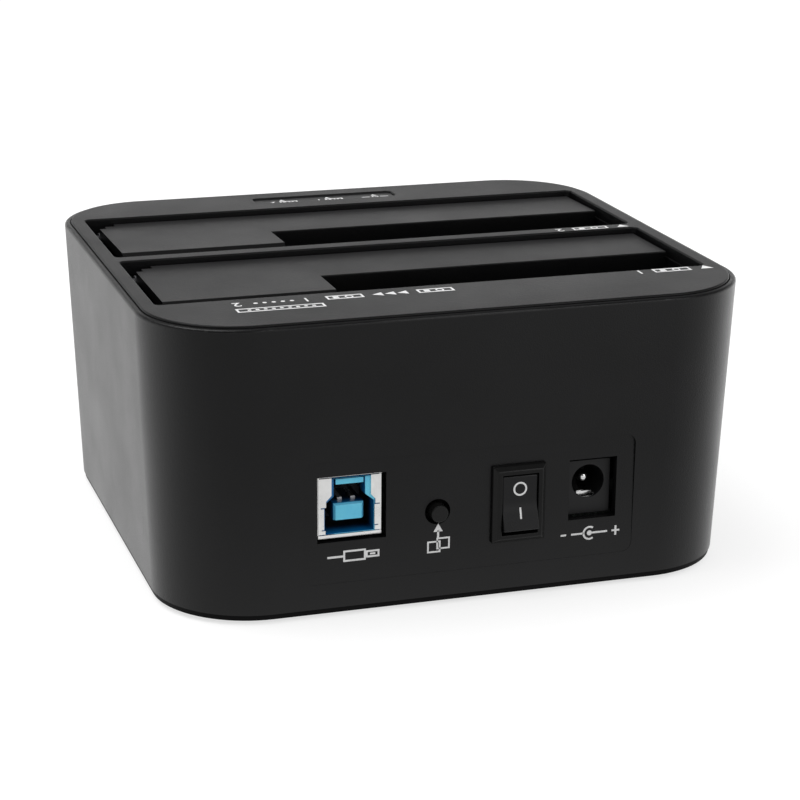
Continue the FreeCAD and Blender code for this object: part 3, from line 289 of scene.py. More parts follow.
shell_black = grained(
    "shell_black", (0.0026, 0.0026, 0.0029), (0.0038, 0.0038, 0.0042), (0.28, 0.34),
    depth=0.00007, shine=0.28, grain=3500.0,
)
eased("main_shell", shell_black, 0.12 * mm)

# Base plate and feet: a flat moulding under the sleeve, screwed to its corner posts, with
# four soft rubber pads glued into shallow round seats. A pad has a rim round its hollow middle.
frame_black = grained(
    "frame_black", (0.0016, 0.0016, 0.0018), (0.0026, 0.0026, 0.0028), (0.45, 0.55),
    depth=0.00004, shine=0.08,
)
eased("base_plate", frame_black, 0.15 * mm)
rubber = grained(
    "foot_rubber", (0.012, 0.012, 0.012), (0.02, 0.02, 0.02), (0.75, 0.9),
    depth=0.00006, shine=0.3, grain=3500.0, mottle=200.0,
)
foot_radius, foot_thick, foot_hollow = 4.95, 1.75, 0.25
foot_profile = (
    (0, foot_hollow), (3.2, foot_hollow), (3.5, 0), (4.55, 0), (4.85, 0.12),
    (foot_radius, 0.42), (foot_radius, foot_thick), (0, foot_thick),
)


def new_piece(name, shape, paint, body):
    """Makes a finished bmesh a piece that rides on a body."""
    bmesh.ops.remove_doubles(shape, verts=shape.verts, dist=1e-7)
    bmesh.ops.recalc_face_normals(shape, faces=shape.faces)
    piece = shown(name, shape, paint, math.radians(35))
    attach(piece, body)
    return piece


def turned(shape, profile, centre):
    """Adds a solid turned about an upright axis; its outline is (radius, height) in millimetres."""
    points = [
        shape.verts.new(Vector(centre) + Vector((radius * mm, 0, height * mm))) for radius, height in profile
    ]
    edges = [shape.edges.new(pair) for pair in zip(points, points[1:])]
    bmesh.ops.spin(
        shape, geom=points + edges, cent=centre, axis=(0, 0, 1), angle=2 * math.pi, steps=48, use_merge=True
    )


def corners_of(name):
    """The lowest and the highest corner of a CAD piece at rest."""
    return [Vector(corner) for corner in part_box(name)]


foot_low, foot_high = corners_of("rubber_feet")
feet = bmesh.new()
for across in (foot_low.x + foot_radius * mm, foot_high.x - foot_radius * mm):
    for along in (foot_low.y + foot_radius * mm, foot_high.y - foot_radius * mm):
        turned(feet, foot_profile, (across, along, 0))
feet_piece = new_piece("rubber_feet_pads", feet, rubber, "dock")
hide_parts("rubber_feet")

# Screws: short ones of dark zinc-plated steel, which hold the base plate, the inner frame and
# the two boards.
zinc = grained(
    "dark_zinc", (0.16, 0.16, 0.17), (0.24, 0.24, 0.25), (0.28, 0.42),
    depth=0.00001, grain=4000.0, mottle=900.0, metal=1.0,
)
for screw_set in ("base_screws", "cradle_screws", "board_screws", "led_board_screws"):
    eased(screw_set, zinc, 0.12 * mm)


# Boards: glass fibre with black solder mask, its tracks just visible under the mask. On the
# main one are the controller, memory, crystal, coils and regulators, soldered on top.
def solder_mask():
    """A black mask over straight tracks, which run either way from patch to patch."""
    paint = bpy.data.materials.new("solder_mask")
    paint.use_nodes = True
    tree = paint.node_tree
    shader = tree.nodes["Principled BSDF"].inputs
    shader["Roughness"].default_value = 0.28
    place = tree.nodes.new("ShaderNodeTexCoord").outputs["Object"]
    wave_scale, patch_scale, track_from = 210, 110, 0.72
    tracks = []
    for direction in ("X", "Y"):
        wave = tree.nodes.new("ShaderNodeTexWave")
        wave.bands_direction = direction
        wave.inputs["Scale"].default_value = wave_scale
        wave.inputs["Distortion"].default_value = 0
        plug(tree, place, wave.inputs["Vector"])
        tracks.append(worked(tree, "GREATER_THAN", wave.outputs["Fac"], track_from))
    patches = tree.nodes.new("ShaderNodeTexVoronoi")
    patches.distance = "CHEBYCHEV"
    patches.inputs["Scale"].default_value = patch_scale
    plug(tree, place, patches.inputs["Vector"])
    chance = tree.nodes.new("ShaderNodeSeparateColor")
    plug(tree, patches.outputs["Color"], chance.inputs[0])
    track = ranged(tree, worked(tree, "GREATER_THAN", chance.outputs[0], 0.5), 0, 1, *tracks)
    plug(tree, mixed(tree, track, (0.006, 0.008, 0.007), (0.016, 0.019, 0.017)), shader["Base Color"])
    bumped(tree, track, 0.00003)
    return paint


def dress(names, paint):
    """Gives CAD pieces their material as they are."""
    for name in names:
        mesh = nodes[name].data
        mesh.materials.clear()
        mesh.materials.append(paint)


dress(["main_board", "led_board"], solder_mask())
epoxy = grained(
    "chip_epoxy", (0.012, 0.012, 0.013), (0.02, 0.02, 0.021), (0.5, 0.62),
    depth=0.00002, shine=0.4, grain=5000.0, mottle=300.0,
)
for chip_set in ("bridge_chip", "flash_chip", "power_inductors", "regulator_chips"):
    eased(chip_set, epoxy, 0.2 * mm)
nickel = grained(
    "nickel", (0.56, 0.55, 0.53), (0.66, 0.65, 0.63), (0.18, 0.32),
    depth=0.000006, grain=2500.0, mottle=400.0, metal=1.0,
)
eased("crystal_can", nickel, 0.45 * mm, segments=3)
tin = grained(
    "tin", (0.6, 0.6, 0.6), (0.75, 0.75, 0.76), (0.22, 0.4),
    depth=0.00001, grain=3000.0, mottle=700.0, metal=1.0,
)


def block(shape, low, high, round_off=0.0):
    """Adds a box between two corners, its edges rounded where asked."""
    low, high = Vector(low), Vector(high)
    middle, size = (low + high) / 2, high - low
    place = Matrix.Translation(middle) @ Matrix.Diagonal((*size, 1))
    corners = bmesh.ops.create_cube(shape, size=1, matrix=place)["verts"]
    if round_off:
        edges = list({edge for corner in corners for edge in corner.link_edges})
        bmesh.ops.bevel(
            shape, geom=edges, offset=round_off, segments=2, profile=0.5, affect="EDGES", material=-1
        )


# Sixteen flat leads on each side of the controller
board_top = corners_of("main_board")[1].z
leads = bmesh.new()
chip_low, chip_high = corners_of("bridge_chip")
lead_first, lead_pitch = 0.8 * mm, 0.56 * mm
lead_half, lead_long, lead_top = 0.13 * mm, 1.1 * mm, board_top + 0.3 * mm
for step in range(16):
    along = chip_low.x + lead_first + step * lead_pitch
    across = chip_low.y + lead_first + step * lead_pitch
    for start, end in ((chip_low.y - lead_long, chip_low.y), (chip_high.y, chip_high.y + lead_long)):
        block(leads, (along - lead_half, start, board_top), (along + lead_half, end, lead_top))
    for start, end in ((chip_low.x - lead_long, chip_low.x), (chip_high.x, chip_high.x + lead_long)):
        block(leads, (start, across - lead_half, board_top), (end, across + lead_half, lead_top))

# Four wider ones along two sides of the memory
flash_low, flash_high = corners_of("flash_chip")
lead_first, lead_pitch = 1.1 * mm, 1.27 * mm
lead_half, lead_long, lead_top = 0.2 * mm, 0.9 * mm, board_top + 0.35 * mm
for step in range(4):
    along = flash_low.x + lead_first + step * lead_pitch
    for start, end in ((flash_low.y - lead_long, flash_low.y), (flash_high.y, flash_high.y + lead_long)):
        block(leads, (along - lead_half, start, board_top), (along + lead_half, end, lead_top))
new_piece("chip_leads", leads, tin, "dock")

# Capacitors: beaded aluminium cans on square bases of black epoxy, in a row along the front
# of the main board.
can_profile = (
    (0, 0.9), (3.0, 0.9), (3.1, 1.2), (2.85, 1.6), (3.1, 2.0), (3.12, 6.1), (2.85, 6.45), (2.4, 6.5),
    (2.3, 6.35), (0, 6.35),
)
can_places = (-34 * mm, -24 * mm, -14 * mm, 22 * mm)
can_low, can_high = corners_of("capacitors")
can_row = (can_low.y + can_high.y) / 2
base_half, base_top, base_round = 3.15 * mm, board_top + 0.95 * mm, 0.5 * mm
cans, bases = bmesh.new(), bmesh.new()
for across in can_places:
    turned(cans, can_profile, (across, can_row, board_top))
    base_low = (across - base_half, can_row - base_half, board_top)
    base_high = (across + base_half, can_row + base_half, base_top)
    block(bases, base_low, base_high, base_round)
aluminium = grained(
    "can_aluminium", (0.5, 0.51, 0.52), (0.6, 0.61, 0.62), (0.3, 0.42),
    depth=0.000008, grain=2500.0, mottle=300.0, metal=1.0,
)
can_piece = new_piece("capacitor_cans", cans, aluminium, "dock")
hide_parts("capacitors")
new_piece("capacitor_bases", bases, epoxy, "dock")

# Small resistors: dark chips with tinned ends, scattered beside the row of the chips and near
# the capacitors. One that would land on the chips or at the board's side goes to its middle.
random.seed(7)
small_count = 44
chip_row, front_row = 0.0099, -0.0225
half_long, half_wide, small_thick = 0.4 * mm, 0.35 * mm, 0.4 * mm
end_out, end_half, end_proud = 0.52 * mm, 0.14 * mm, 0.02 * mm
small_bodies, small_ends = bmesh.new(), bmesh.new()
for spot in range(small_count):
    across = random.uniform(10, 46) * mm * random.choice((1, 1, -1))
    along = random.choice((-1, 1)) * random.uniform(2.5, 6.5) * mm + random.choice((chip_row, front_row))
    at_side = -46 * mm < across < -38 * mm
    on_chips = abs(along - chip_row) < 7 * mm and 14 * mm < across < 46 * mm
    if at_side or on_chips:
        across = random.uniform(2, 9) * mm
        along = random.uniform(0.002, 0.018) if spot % 2 else random.uniform(-0.029, -0.016)
    low = Vector((across - half_long, along - half_wide, board_top))
    high = Vector((across + half_long, along + half_wide, board_top + small_thick))
    block(small_bodies, low, high)
    for side in (-1, 1):
        middle = across + side * end_out
        block(
            small_ends,
            (middle - end_half, low.y - end_proud, board_top),
            (middle + end_half, high.y + end_proud, high.z + end_proud),
        )
new_piece("small_resistors", small_bodies, epoxy, "dock")
new_piece("small_resistor_ends", small_ends, tin, "dock")

# Drive sockets: upright black mouldings with two slots in line, and gold blades in them. The
# wire headers on the same board are cream nylon.
socket_black = grained(
    "socket_black", (0.006, 0.006, 0.0065), (0.009, 0.009, 0.0095), (0.38, 0.48),
    depth=0.00002, shine=0.3, grain=4000.0,
)
gold = grained(
    "contact_gold", (0.78, 0.55, 0.2), (0.86, 0.64, 0.28), (0.18, 0.3),
    depth=0.000004, grain=3000.0, mottle=900.0, metal=1.0,
)
for bay in (1, 2):
    eased("sata_housing_%d" % bay, socket_black, 0.1 * mm)
    dress(["sata_contacts_%d" % bay], gold)
cream = grained(
    "header_nylon", (0.55, 0.5, 0.4), (0.62, 0.57, 0.47), (0.4, 0.5),
    depth=0.00002, grain=3000.0,
)
eased("board_headers", cream, 0.25 * mm)

# Inner frame, flap pins and springs: the frame is a black moulding with two wells; a plain
# steel rod and a coil of spring wire at each flap's front edge lie in its open saddles.
eased("drive_cradle", frame_black, 0.2 * mm)
steel = grained(
    "drawn_steel", (0.08, 0.08, 0.085), (0.12, 0.12, 0.125), (0.5, 0.62),
    depth=0.000005, grain=2500.0, mottle=500.0, metal=1.0,
)
dress(["flap_pin_1", "flap_pin_2", "flap_spring_1", "flap_spring_2"], steel)


# Flaps: satin black mouldings with a bent lip, each an L that leaves the small slot open. Their
# upward faces get a lighter grey as painted light and their walls a near black as painted shade,
# here and on the top plate.
def painted_shade_by_facing(paint, painted_wall_shade):
    """Paints light and shade by facing: faces that point up keep the paint's lighter grey as painted light,
    and the others get a near black as painted shade.
    """
    tree = paint.node_tree
    base = tree.nodes["Principled BSDF"].inputs["Base Color"]
    textured = base.links[0].from_socket
    painted_light_upward = ranged(tree, coordinate(tree, "Normal", "Z"), 0.78, 0.97)
    plug(tree, mixed(tree, painted_light_upward, painted_wall_shade, textured), base)


def lifted(shape):
    """Raises the flap's free edge a little, as its spring leaves it."""
    for corner in shape.verts:
        corner.co.z += max(0, corner.co.y - pin_line) * math.tan(spring_lift)


flap_black = grained(
    "flap_black", (0.018, 0.018, 0.0185), (0.023, 0.023, 0.0235), (0.34, 0.42),
    depth=0.00008, shine=0.2, grain=3000.0,
)
# Painted light on the flaps' upward faces in this grey, painted shade on their walls
painted_shade_by_facing(flap_black, (0.002, 0.002, 0.0022))
for bay, spring_lift in ((1, math.radians(0.3)), (2, math.radians(1.2))):
    pin_low, pin_high = corners_of("flap_pin_%d" % bay)
    pin_line = (pin_low.y + pin_high.y) / 2
    eased("flap_%d" % bay, flap_black, 0.2 * mm, reshape=lifted)

# Top plate and light strip: the plate is satin black with rounded edges, and the strip is a
# smoked window over three lights on a small board, which a grey ribbon joins to the main one.
plate_black = grained(
    "plate_black", (0.016, 0.016, 0.0165), (0.021, 0.021, 0.0215), (0.34, 0.42),
    depth=0.00008, shine=0.2, grain=3000.0,
)
# Painted light on the plate's upward faces in this grey, painted shade on its walls
painted_shade_by_facing(plate_black, (0.003, 0.003, 0.0033))
dress(["top_plate"], plate_black)
smoked = grained(
    "smoked_window", (0.004, 0.004, 0.0045), (0.0055, 0.0055, 0.006), (0.30, 0.36),
    depth=0.00001, shine=0.2, grain=5000.0,
)
eased("led_window", smoked, 0.12 * mm)
lens = grained(
    "lens_clear", (0.6, 0.68, 0.8), (0.7, 0.78, 0.9), (0.12, 0.2),
    depth=0.000004, grain=3000.0,
)
eased("status_leds", lens, 0.15 * mm)
ribbon = grained(
    "ribbon_grey", (0.42, 0.42, 0.43), (0.5, 0.5, 0.51), (0.4, 0.5),
    depth=0.00002, grain=2000.0,
)
dress(["led_ribbon"], ribbon)

# Printed marks: white ink laid on the mouldings, a few hundredths of a millimetre thick. Each
# is drawn flat in millimetres, then raised. The plate's are read from the dock's front.
ink = grained(
    "white_ink", (0.80, 0.80, 0.80), (0.92, 0.92, 0.92), (0.45, 0.6),
    depth=0.000006, shine=0.4, grain=4000.0, mottle=700.0,
)
ink_thick = 0.03 * mm
ink_sunk = 0.005 * mm
stroke = 0.42


def flat_bar(shape, left, low, right, high, steps=1):
    """Adds a flat rectangle, divided along its height where it has to follow a bend."""
    middle = Matrix.Translation(((left + right) / 2, (low + high) / 2, 0))
    size = Matrix.Diagonal((right - left, high - low, 1, 1))
    bmesh.ops.create_grid(shape, x_segments=1, y_segments=steps, size=0.5, matrix=middle @ size)


def flat_frame(shape, left, low, right, high, width=stroke):
    """Adds the outline of a rectangle as four bars."""
    flat_bar(shape, left, low, right, low + width)
    flat_bar(shape, left, high - width, right, high)
    flat_bar(shape, left, low + width, left + width, high - width)
    flat_bar(shape, right - width, low + width, right, high - width)


def flat_ring(shape, radius, centre, width, start=0, sweep=360):
    """Adds a flat ring or an arc of one, from its middle radius."""
    turn = Matrix.Translation((*centre, 0)) @ Matrix.Rotation(math.radians(start), 4, "Z")
    ends = [shape.verts.new(turn @ Vector((radius + side * width / 2, 0, 0))) for side in (-1, 1)]
    bmesh.ops.spin(
        shape,
        geom=ends + [shape.edges.new(ends)],
        cent=(*centre, 0),
        axis=(0, 0, 1),
        angle=math.radians(sweep),
        steps=round(sweep / 9),
        use_merge=sweep == 360,
    )


def flat_disc(shape, radius, centre, corners=20, turn=0):
    """Adds a flat disc, or a triangle where it has three corners."""
    place = Matrix.Translation((*centre, 0)) @ Matrix.Rotation(math.radians(turn), 4, "Z")
    bmesh.ops.create_circle(shape, cap_ends=True, segments=corners, radius=radius, matrix=place)


def flat_digit(shape, digit, tall, centre):
    """Adds a plain digit, about its middle."""
    text = bpy.data.curves.new("digit", "FONT")
    text.body = digit
    text.align_x = "CENTER"
    text.align_y = "CENTER"
    text.size = tall / 0.69
    text.offset = 0.02
    written = bpy.data.objects.new("digit", text)
    outline = bpy.data.meshes.new_from_object(written)
    outline.transform(Matrix.Translation((*centre, 0)))
    shape.from_mesh(outline)
    bpy.data.objects.remove(written)
    bpy.data.meshes.remove(outline)


def flat_drive(shape, left, middle, wide, tall=2.4):
    """Adds a drive seen from above: a case with its disc and its arm."""
    flat_frame(shape, left, middle - tall / 2, left + wide, middle + tall / 2)
    flat_ring(shape, 0.28 * tall, (left + 0.38 * wide, middle), 0.32)
    flat_bar(shape, left + 0.66 * wide, middle - 0.25 * tall, left + 0.82 * wide, middle + 0.25 * tall)


def printed(name, shape, place, body):
    """Raises a flat drawing by the ink's thickness and lays it on a face."""
    raised = bmesh.ops.extrude_face_region(shape, geom=shape.faces[:])["geom"]
    tops = [item for item in raised if isinstance(item, bmesh.types.BMVert)]
    bmesh.ops.translate(shape, verts=tops, vec=(0, 0, ink_thick / mm))
    bmesh.ops.transform(shape, matrix=place @ Matrix.Scale(mm, 4), verts=shape.verts)
    return new_piece(name, shape, ink, body)


plate_face = corners_of("top_plate")[1].z - ink_sunk


def on_plate(across, along):
    """Where a drawing's origin goes on the top plate, in millimetres."""
    return Matrix.Translation((across * mm, along * mm, plate_face))


# Beside each bay an arrow, a drive and its number, lower on the narrow bridge between the bays
for bay, across, along, squeeze in (("1", -46.3, 34.5, 1), ("2", -44.5, -2.45, 0.8)):
    sign = bmesh.new()
    flat_disc(sign, 1.5, (-7.2, 0.1), 3, 180)
    flat_drive(sign, -3.9, 0.0, 7.6)
    flat_digit(sign, bay, 2.4, (6.6, 0))
    bmesh.ops.scale(sign, vec=(1, squeeze, 1), verts=sign.verts)
    printed("bay_%s_mark" % bay, sign, on_plate(across, along), "dock")

# One drive copied to the other, and over the two numbers a socket's row of contacts
sign = bmesh.new()
flat_drive(sign, -21.4, 0.0, 7.0)
for step in range(3):
    flat_disc(sign, 1.3, (-11.8 + 2.4 * step, 0), 3, 270)
flat_drive(sign, -3.9, 0.0, 7.0)
flat_digit(sign, "1", 2.4, (6.9, 0))
for step in range(5):
    flat_disc(sign, 0.42, (9.6 + 1.7 * step, 0), 12)
flat_digit(sign, "2", 2.4, (19.9, 0))
flat_frame(sign, 4.6, 3.1, 21.0, 5.5)
for step in range(9):
    flat_bar(sign, 6.3 + 1.5 * step, 3.95, 6.95 + 1.5 * step, 4.65)
printed("copy_mark", sign, on_plate(20.1, 36.6), "dock")

# On the light strip a sign for each drive and one for power, each with an arrow to its light
strip_high = corners_of("led_window")[1]
sign = bmesh.new()
for across, digit in ((9.5, "2"), (-0.7, "1")):
    flat_drive(sign, across - 3.2, 0.0, 4.0, 1.5)
    flat_digit(sign, digit, 1.5, (across + 2.2, 0))
    flat_disc(sign, 0.75, (across, -1.5), 3, 180)
flat_ring(sign, 0.6, (-11.2, 0), 0.34, 125, 290)
flat_bar(sign, -11.37, 0.1, -11.03, 1.0)
flat_bar(sign, -14.2, -0.17, -12.4, 0.17)
flat_bar(sign, -10.0, -0.17, -8.2, 0.17)
flat_disc(sign, 0.75, (-11.2, -1.5), 3, 180)
strip_place = Matrix.Translation((0, strip_high.y - 1.1 * mm, strip_high.z - ink_sunk))
printed("light_marks", sign, strip_place, "dock")

# Square data socket: a folded nickel-plated can around a blue nylon insert with two tongues
# and plated contacts, set a little behind the panel. The can's two side plates stand between
# its top and bottom sheets with a hairline gap, and each has two notches.
bright_nickel = grained(
    "bright_nickel", (0.88, 0.88, 0.87), (0.97, 0.97, 0.96), (0.25, 0.38),
    depth=0.000006, grain=2500.0, mottle=400.0, metal=1.0,
)
usb_low, usb_high = corners_of("usb_shell")
usb_face = usb_high.y
usb_middle = (usb_low.x + usb_high.x) / 2
usb_bottom = usb_high.z - 11.6 * mm
usb_half, usb_skin, usb_long = 6.05 * mm, 0.35 * mm, 16.0 * mm
bottom_sheet, top_sheet = (-0.12 * mm, 0.6 * mm), (11.62 * mm, 11.95 * mm)
plate_back = 0.04 * mm
left_plate = [
    (5.95, 0.75), (5.95, 11.45), (3.46, 11.45), (3.46, 8.1), (4.48, 7.05), (4.48, 5.9), (5.5, 5.9),
    (5.5, 5.68), (4.85, 5.68), (4.85, 1.65), (5.3, 1.65), (5.3, 1.45), (4.6, 1.45), (4.6, 0.75),
]
right_plate = [
    (-5.95, 0.75), (-5.95, 11.45), (-4.0, 11.45), (-4.0, 7.7), (-4.86, 6.75), (-4.86, 5.9), (-5.7, 5.9),
    (-5.7, 5.7), (-4.7, 5.7), (-4.7, 1.8), (-5.4, 1.8), (-5.4, 1.6), (-4.75, 1.6), (-4.75, 0.75),
]
can = bmesh.new()
for outline in (left_plate, right_plate):
    corners = [
        can.verts.new((usb_middle + across * mm, usb_face - usb_skin, usb_bottom + up * mm))
        for across, up in outline
    ]
    raised = bmesh.ops.extrude_face_region(can, geom=[can.faces.new(corners)])["geom"]
    raised_corners = [item for item in raised if isinstance(item, bmesh.types.BMVert)]
    bmesh.ops.translate(can, verts=raised_corners, vec=(0, usb_skin - plate_back, 0))
for low, high in (bottom_sheet, top_sheet):
    block(
        can,
        (usb_middle - usb_half, usb_face - usb_long, usb_bottom + low),
        (usb_middle + usb_half, usb_face, usb_bottom + high),
        0.1 * mm,
    )
for side in (-1, 1):
    across = usb_middle + side * (usb_half - usb_skin / 2)
    block(
        can,
        (across - usb_skin / 2, usb_face - usb_long, usb_bottom + 0.3 * mm),
        (across + usb_skin / 2, usb_face - usb_skin, usb_bottom + 11.8 * mm),
    )
    peg = usb_middle + side * (usb_half - 0.5 * mm)
    block(
        can,
        (peg - 0.5 * mm, usb_face - 6.5 * mm, usb_low.z),
        (peg + 0.5 * mm, usb_face - 4.5 * mm, usb_bottom + 0.3 * mm),
    )
usb_can = new_piece("usb_can", can, bright_nickel, "dock")
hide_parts("usb_shell")


def socket_blue_painted_shade():
    """Blue nylon with painted light and shade: cyan where the insert faces the mouth near the front, as
    painted light, and deep blue fading to near black along its walls and towards its root, as painted shade.
    """
    paint = grained(
        "socket_blue_painted_shade", (0.15, 0.68, 0.97), (0.19, 0.76, 1.0), (0.3, 0.4),
        depth=0.00001, grain=3000.0, mottle=200.0,
    )
    tree = paint.node_tree
    base = tree.nodes["Principled BSDF"].inputs["Base Color"]
    cyan = base.links[0].from_socket
    across, along = coordinate(tree, "Object", "X"), coordinate(tree, "Object", "Y")
    # Painted light on the faces toward the mouth, painted shade deepening into the socket
    facing = ranged(tree, coordinate(tree, "Normal", "Y"), 0.3, 0.95, smooth=True)
    outer = ranged(tree, along, usb_face - 2.6 * mm, usb_face - 1.9 * mm, smooth=True)
    depth = ranged(tree, along, usb_face - 4.5 * mm, usb_face - 0.4 * mm, smooth=True)
    central = worked(tree, "COMPARE", across, usb_middle - 0.9 * mm, 3.85 * mm)
    painted_light_mask = worked(tree, "MULTIPLY", worked(tree, "MULTIPLY", facing, outer), central)
    painted_depth_shade = mixed(tree, depth, (0.0, 0.004, 0.015), (0.0, 0.13, 0.36))
    plug(tree, mixed(tree, painted_light_mask, painted_depth_shade, cyan), base)
    return paint


def opened_insert(shape):
    """Widens the insert's mouth, lifts its upper tongue, and lowers the other and bevels its front."""
    near = 0.05
    mouth_moves = (
        ((4.15, 1.45), (4.65, 0.68)),
        ((4.15, 6.15), (4.65, 6.4)),
        ((2.95, 10.45), (2.95, 11.1)),
    )
    roof_half, roof_from, roof_to = 2.9, 10.45, 11.1
    upper_tongue_from, upper_tongue_to = 9.3, 10.0
    tongue_half, tongue_from, tongue_to = 3.2, 6.4, 6.0
    for corner in shape.verts:
        across, up = (corner.co.x - usb_middle) / mm, (corner.co.z - usb_bottom) / mm
        for start, end in mouth_moves:
            if math.hypot(abs(across) - start[0], up - start[1]) < near:
                corner.co.x = usb_middle + math.copysign(end[0], across) * mm
                corner.co.z = usb_bottom + end[1] * mm
        if abs(across) < roof_half and abs(up - roof_from) < near:
            corner.co.z = usb_bottom + roof_to * mm
        if abs(up - upper_tongue_from) < near:
            corner.co.z = usb_bottom + upper_tongue_to * mm
        if abs(across) < tongue_half and abs(up - tongue_from) < near:
            corner.co.z = usb_bottom + tongue_to * mm
    tongue_front, tongue_low = usb_face - 1.4 * mm, usb_bottom + 2.8 * mm
    slanted = [
        edge
        for edge in shape.edges
        if all(abs(corner.co.y - tongue_front) < near * mm for corner in edge.verts)
        and sum(corner.co.z for corner in edge.verts) / 2 > tongue_low
    ]
    bmesh.ops.bevel(
        shape, geom=slanted, offset=0.45 * mm, segments=1, profile=0.5, affect="EDGES", material=-1
    )


def short_contacts(shape):
    """Draws the contacts back from the mouth and seats them on the tongues."""
    lower_row_top, upper_row_low, upper_row_rise = 6.7, 9, 0.7
    lower_row_moves = ((6.3, 6.45, 5.95), (6.6, lower_row_top, 6.55))
    front_from, front_to = usb_face - 2 * mm, usb_face - 3.2 * mm
    for corner in shape.verts:
        up = (corner.co.z - usb_bottom) / mm
        if up < lower_row_top and corner.co.y > front_from:
            corner.co.y = front_to
        for low, high, end in lower_row_moves:
            if low < up < high:
                corner.co.z = usb_bottom + end * mm
        if up > upper_row_low:
            corner.co.z += upper_row_rise * mm


# The insert's cyan front and its dark walls and root are painted light and shade
eased("usb_insulator", socket_blue_painted_shade(), 0.1 * mm, reshape=opened_insert)
eased("usb_contacts", tin, 0.03 * mm, reshape=short_contacts)

# Power socket: a square black block with a round well, a bright pin with a round nose and a
# leaf spring whose turned-up end stands at the foot of the well.
jack_top = corners_of("dc_jack_body")[1].z


def lowered_top(shape):
    """Leaves a hair of the panel's hole open over the block."""
    for corner in shape.verts:
        if corner.co.z > jack_top - 0.05 * mm:
            corner.co.z -= 0.3 * mm


eased("dc_jack_body", socket_black, 0.15 * mm, reshape=lowered_top)
chrome = grained(
    "bright_plate", (0.75, 0.75, 0.75), (0.82, 0.82, 0.82), (0.12, 0.22),
    depth=0.000003, grain=2000.0, mottle=500.0, metal=1.0,
)
pin_low, pin_high = corners_of("dc_jack_pin")
pin = bmesh.new()
pin_profile = (
    (0, 0), (1.0, 0), (1.0, 9.6), (0.97, 9.85), (0.87, 10.12), (0.71, 10.33), (0.5, 10.48), (0.26, 10.57),
    (0, 10.6),
)
turned(pin, pin_profile, (0, 0, 0))
pin_place = Matrix.Translation(((pin_low.x + pin_high.x) / 2, pin_low.y, (pin_low.z + pin_high.z) / 2))
bmesh.ops.transform(pin, matrix=pin_place @ Matrix.Rotation(-math.pi / 2, 4, "X"), verts=pin.verts)
pin_piece = new_piece("dc_jack_round_pin", pin, chrome, "dock")
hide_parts("dc_jack_pin")
leaf_low, leaf_high = corners_of("dc_jack_contact")
leaf_bend = ((-8.8, 0.1), (-5.0, 0.5), (-2.2, 0.95), (-1.4, 1.02), (-1.22, 0.9), (-1.1, 0.1))
leaf = bmesh.new()
leaf_points = [
    leaf.verts.new((leaf_low.x, leaf_high.y + back * mm, leaf_low.z + rise * mm)) for back, rise in leaf_bend
]
leaf_edges = [leaf.edges.new(pair) for pair in zip(leaf_points, leaf_points[1:])]
leaf_side = bmesh.ops.extrude_edge_only(leaf, edges=leaf_edges)["geom"]
leaf_moved = [item for item in leaf_side if isinstance(item, bmesh.types.BMVert)]
bmesh.ops.translate(leaf, verts=leaf_moved, vec=(leaf_high.x - leaf_low.x, 0, 0))
bmesh.ops.recalc_face_normals(leaf, faces=leaf.faces)
bmesh.ops.solidify(leaf, geom=leaf.faces[:], thickness=0.1 * mm)
leaf_piece = new_piece("dc_jack_leaf", leaf, chrome, "dock")
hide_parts("dc_jack_contact")

# Rocker switch: a glossy black frame snapped into the panel, with a rocker marked by a ring
# for off and a bar for on. Bright terminals and black wires are behind it.
switch_black = grained(
    "switch_black", (0.004, 0.004, 0.004), (0.006, 0.006, 0.006), (0.26, 0.34),
    depth=0.00001, shine=0.2, grain=4000.0,
)
eased("switch_housing", switch_black, 0.2 * mm)
rocker_black = grained(
    "rocker_black", (0.007, 0.007, 0.0075), (0.01, 0.01, 0.0105), (0.26, 0.34),
    depth=0.00001, shine=0.25, grain=4000.0,
)
eased("rocker", rocker_black, 0.25 * mm)
dress(["switch_terminals"], chrome)
insulation = grained(
    "wire_insulation", (0.015, 0.015, 0.015), (0.02, 0.02, 0.02), (0.4, 0.5),
    depth=0.00002, grain=3000.0,
)
dress(["switch_wires"], insulation)
bezel_proud, rocker_sunk = 1.6 * mm, 0.4 * mm
panel_face = corners_of("switch_housing")[1].y - bezel_proud
rocker_face = panel_face + bezel_proud - rocker_sunk
rocker_across, rocker_middle = 9.3, 18.9
rocker_slope = math.radians(18)
crease_half = 1.6 * mm
facing_back = Matrix(((-1, 0, 0), (0, 0, 1), (0, 1, 0))).to_4x4()


def rocker_bulge(height):
    """How far the rocker's face stands out at a height over its pivot."""
    bend = min(max(1 - height / crease_half, 0), 2)
    past = max(-height - crease_half, 0)
    return (crease_half * bend * bend / 4 + past) * math.tan(rocker_slope)


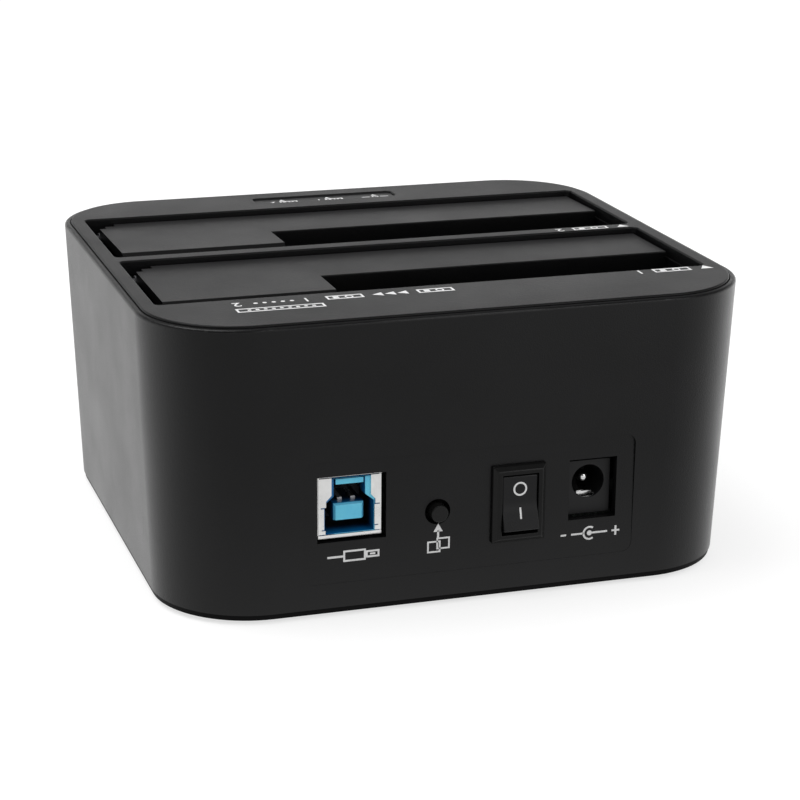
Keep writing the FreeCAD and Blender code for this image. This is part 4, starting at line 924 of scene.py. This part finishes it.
sign_place = Matrix.Translation((0, rocker_face - ink_sunk, 0)) @ facing_back
off_sign, on_sign = bmesh.new(), bmesh.new()
flat_ring(off_sign, 1.18, (rocker_across, rocker_middle + 2.97), 0.35)
on_low, on_high, on_half = rocker_middle - 2.65, rocker_middle - 0.6, 0.17
flat_bar(on_sign, rocker_across - on_half, on_low, rocker_across + on_half, on_high, 8)
for name, sign in (("off_mark", off_sign), ("on_mark", on_sign)):
    mark = printed(name, sign, sign_place, "rocker")
    for vertex in mark.data.vertices:
        vertex.co.y += rocker_bulge(vertex.co.z - rocker_middle * mm)

# Clone button: a satin black stem in a round hole, with its push switch behind the panel. The
# signs under it and under the sockets are printed on the panel.
button_black = grained(
    "button_black", (0.006, 0.006, 0.006), (0.009, 0.009, 0.009), (0.34, 0.42),
    depth=0.00002, shine=0.22, grain=4000.0,
)
eased("clone_button", button_black, 0.1 * mm)
eased("tact_switch", socket_black, 0.2 * mm)


def on_panel(across, up):
    """Where a drawing's origin goes on the back panel, in millimetres."""
    return Matrix.Translation((across * mm, panel_face - ink_sunk, up * mm)) @ facing_back


# Two sheets and an arrow up to the button: copy one to the other
sign = bmesh.new()
flat_frame(sign, -2.1, -2.6, 0.5, -0.3, 0.32)
flat_frame(sign, -0.3, -2.0, 2.3, 0.3, 0.32)
flat_bar(sign, -0.2, 0.3, 0.2, 1.7)
flat_disc(sign, 1.05, (0, 2.0), 3)
printed("button_mark", sign, on_panel(6.2, 13.2), "dock")

# A lead and its plug
sign = bmesh.new()
flat_bar(sign, -5.0, -0.2, -2.0, 0.2)
flat_frame(sign, -2.0, -1.1, 2.3, 1.1, 0.36)
flat_frame(sign, 2.3, -0.7, 4.9, 0.7, 0.36)
flat_bar(sign, 3.1, -0.17, 4.1, 0.17)
printed("data_mark", sign, on_panel(22.4, 11.8), "dock")

# The usual sign for a plug whose centre is positive
sign = bmesh.new()
flat_bar(sign, -6.0, -0.18, -4.9, 0.18)
flat_bar(sign, -3.9, -0.18, -1.4, 0.18)
flat_ring(sign, 1.2, (-0.2, 0), 0.36, 55, 250)
flat_disc(sign, 0.5, (-0.2, 0))
flat_bar(sign, 0.3, -0.18, 3.4, 0.18)
flat_bar(sign, 4.3, -0.18, 4.9, 0.18)
flat_bar(sign, 5.3, -0.18, 5.9, 0.18)
flat_bar(sign, 4.9, -0.95, 5.3, 0.95)
printed("polarity_mark", sign, on_panel(-24.1, 11.2), "dock")
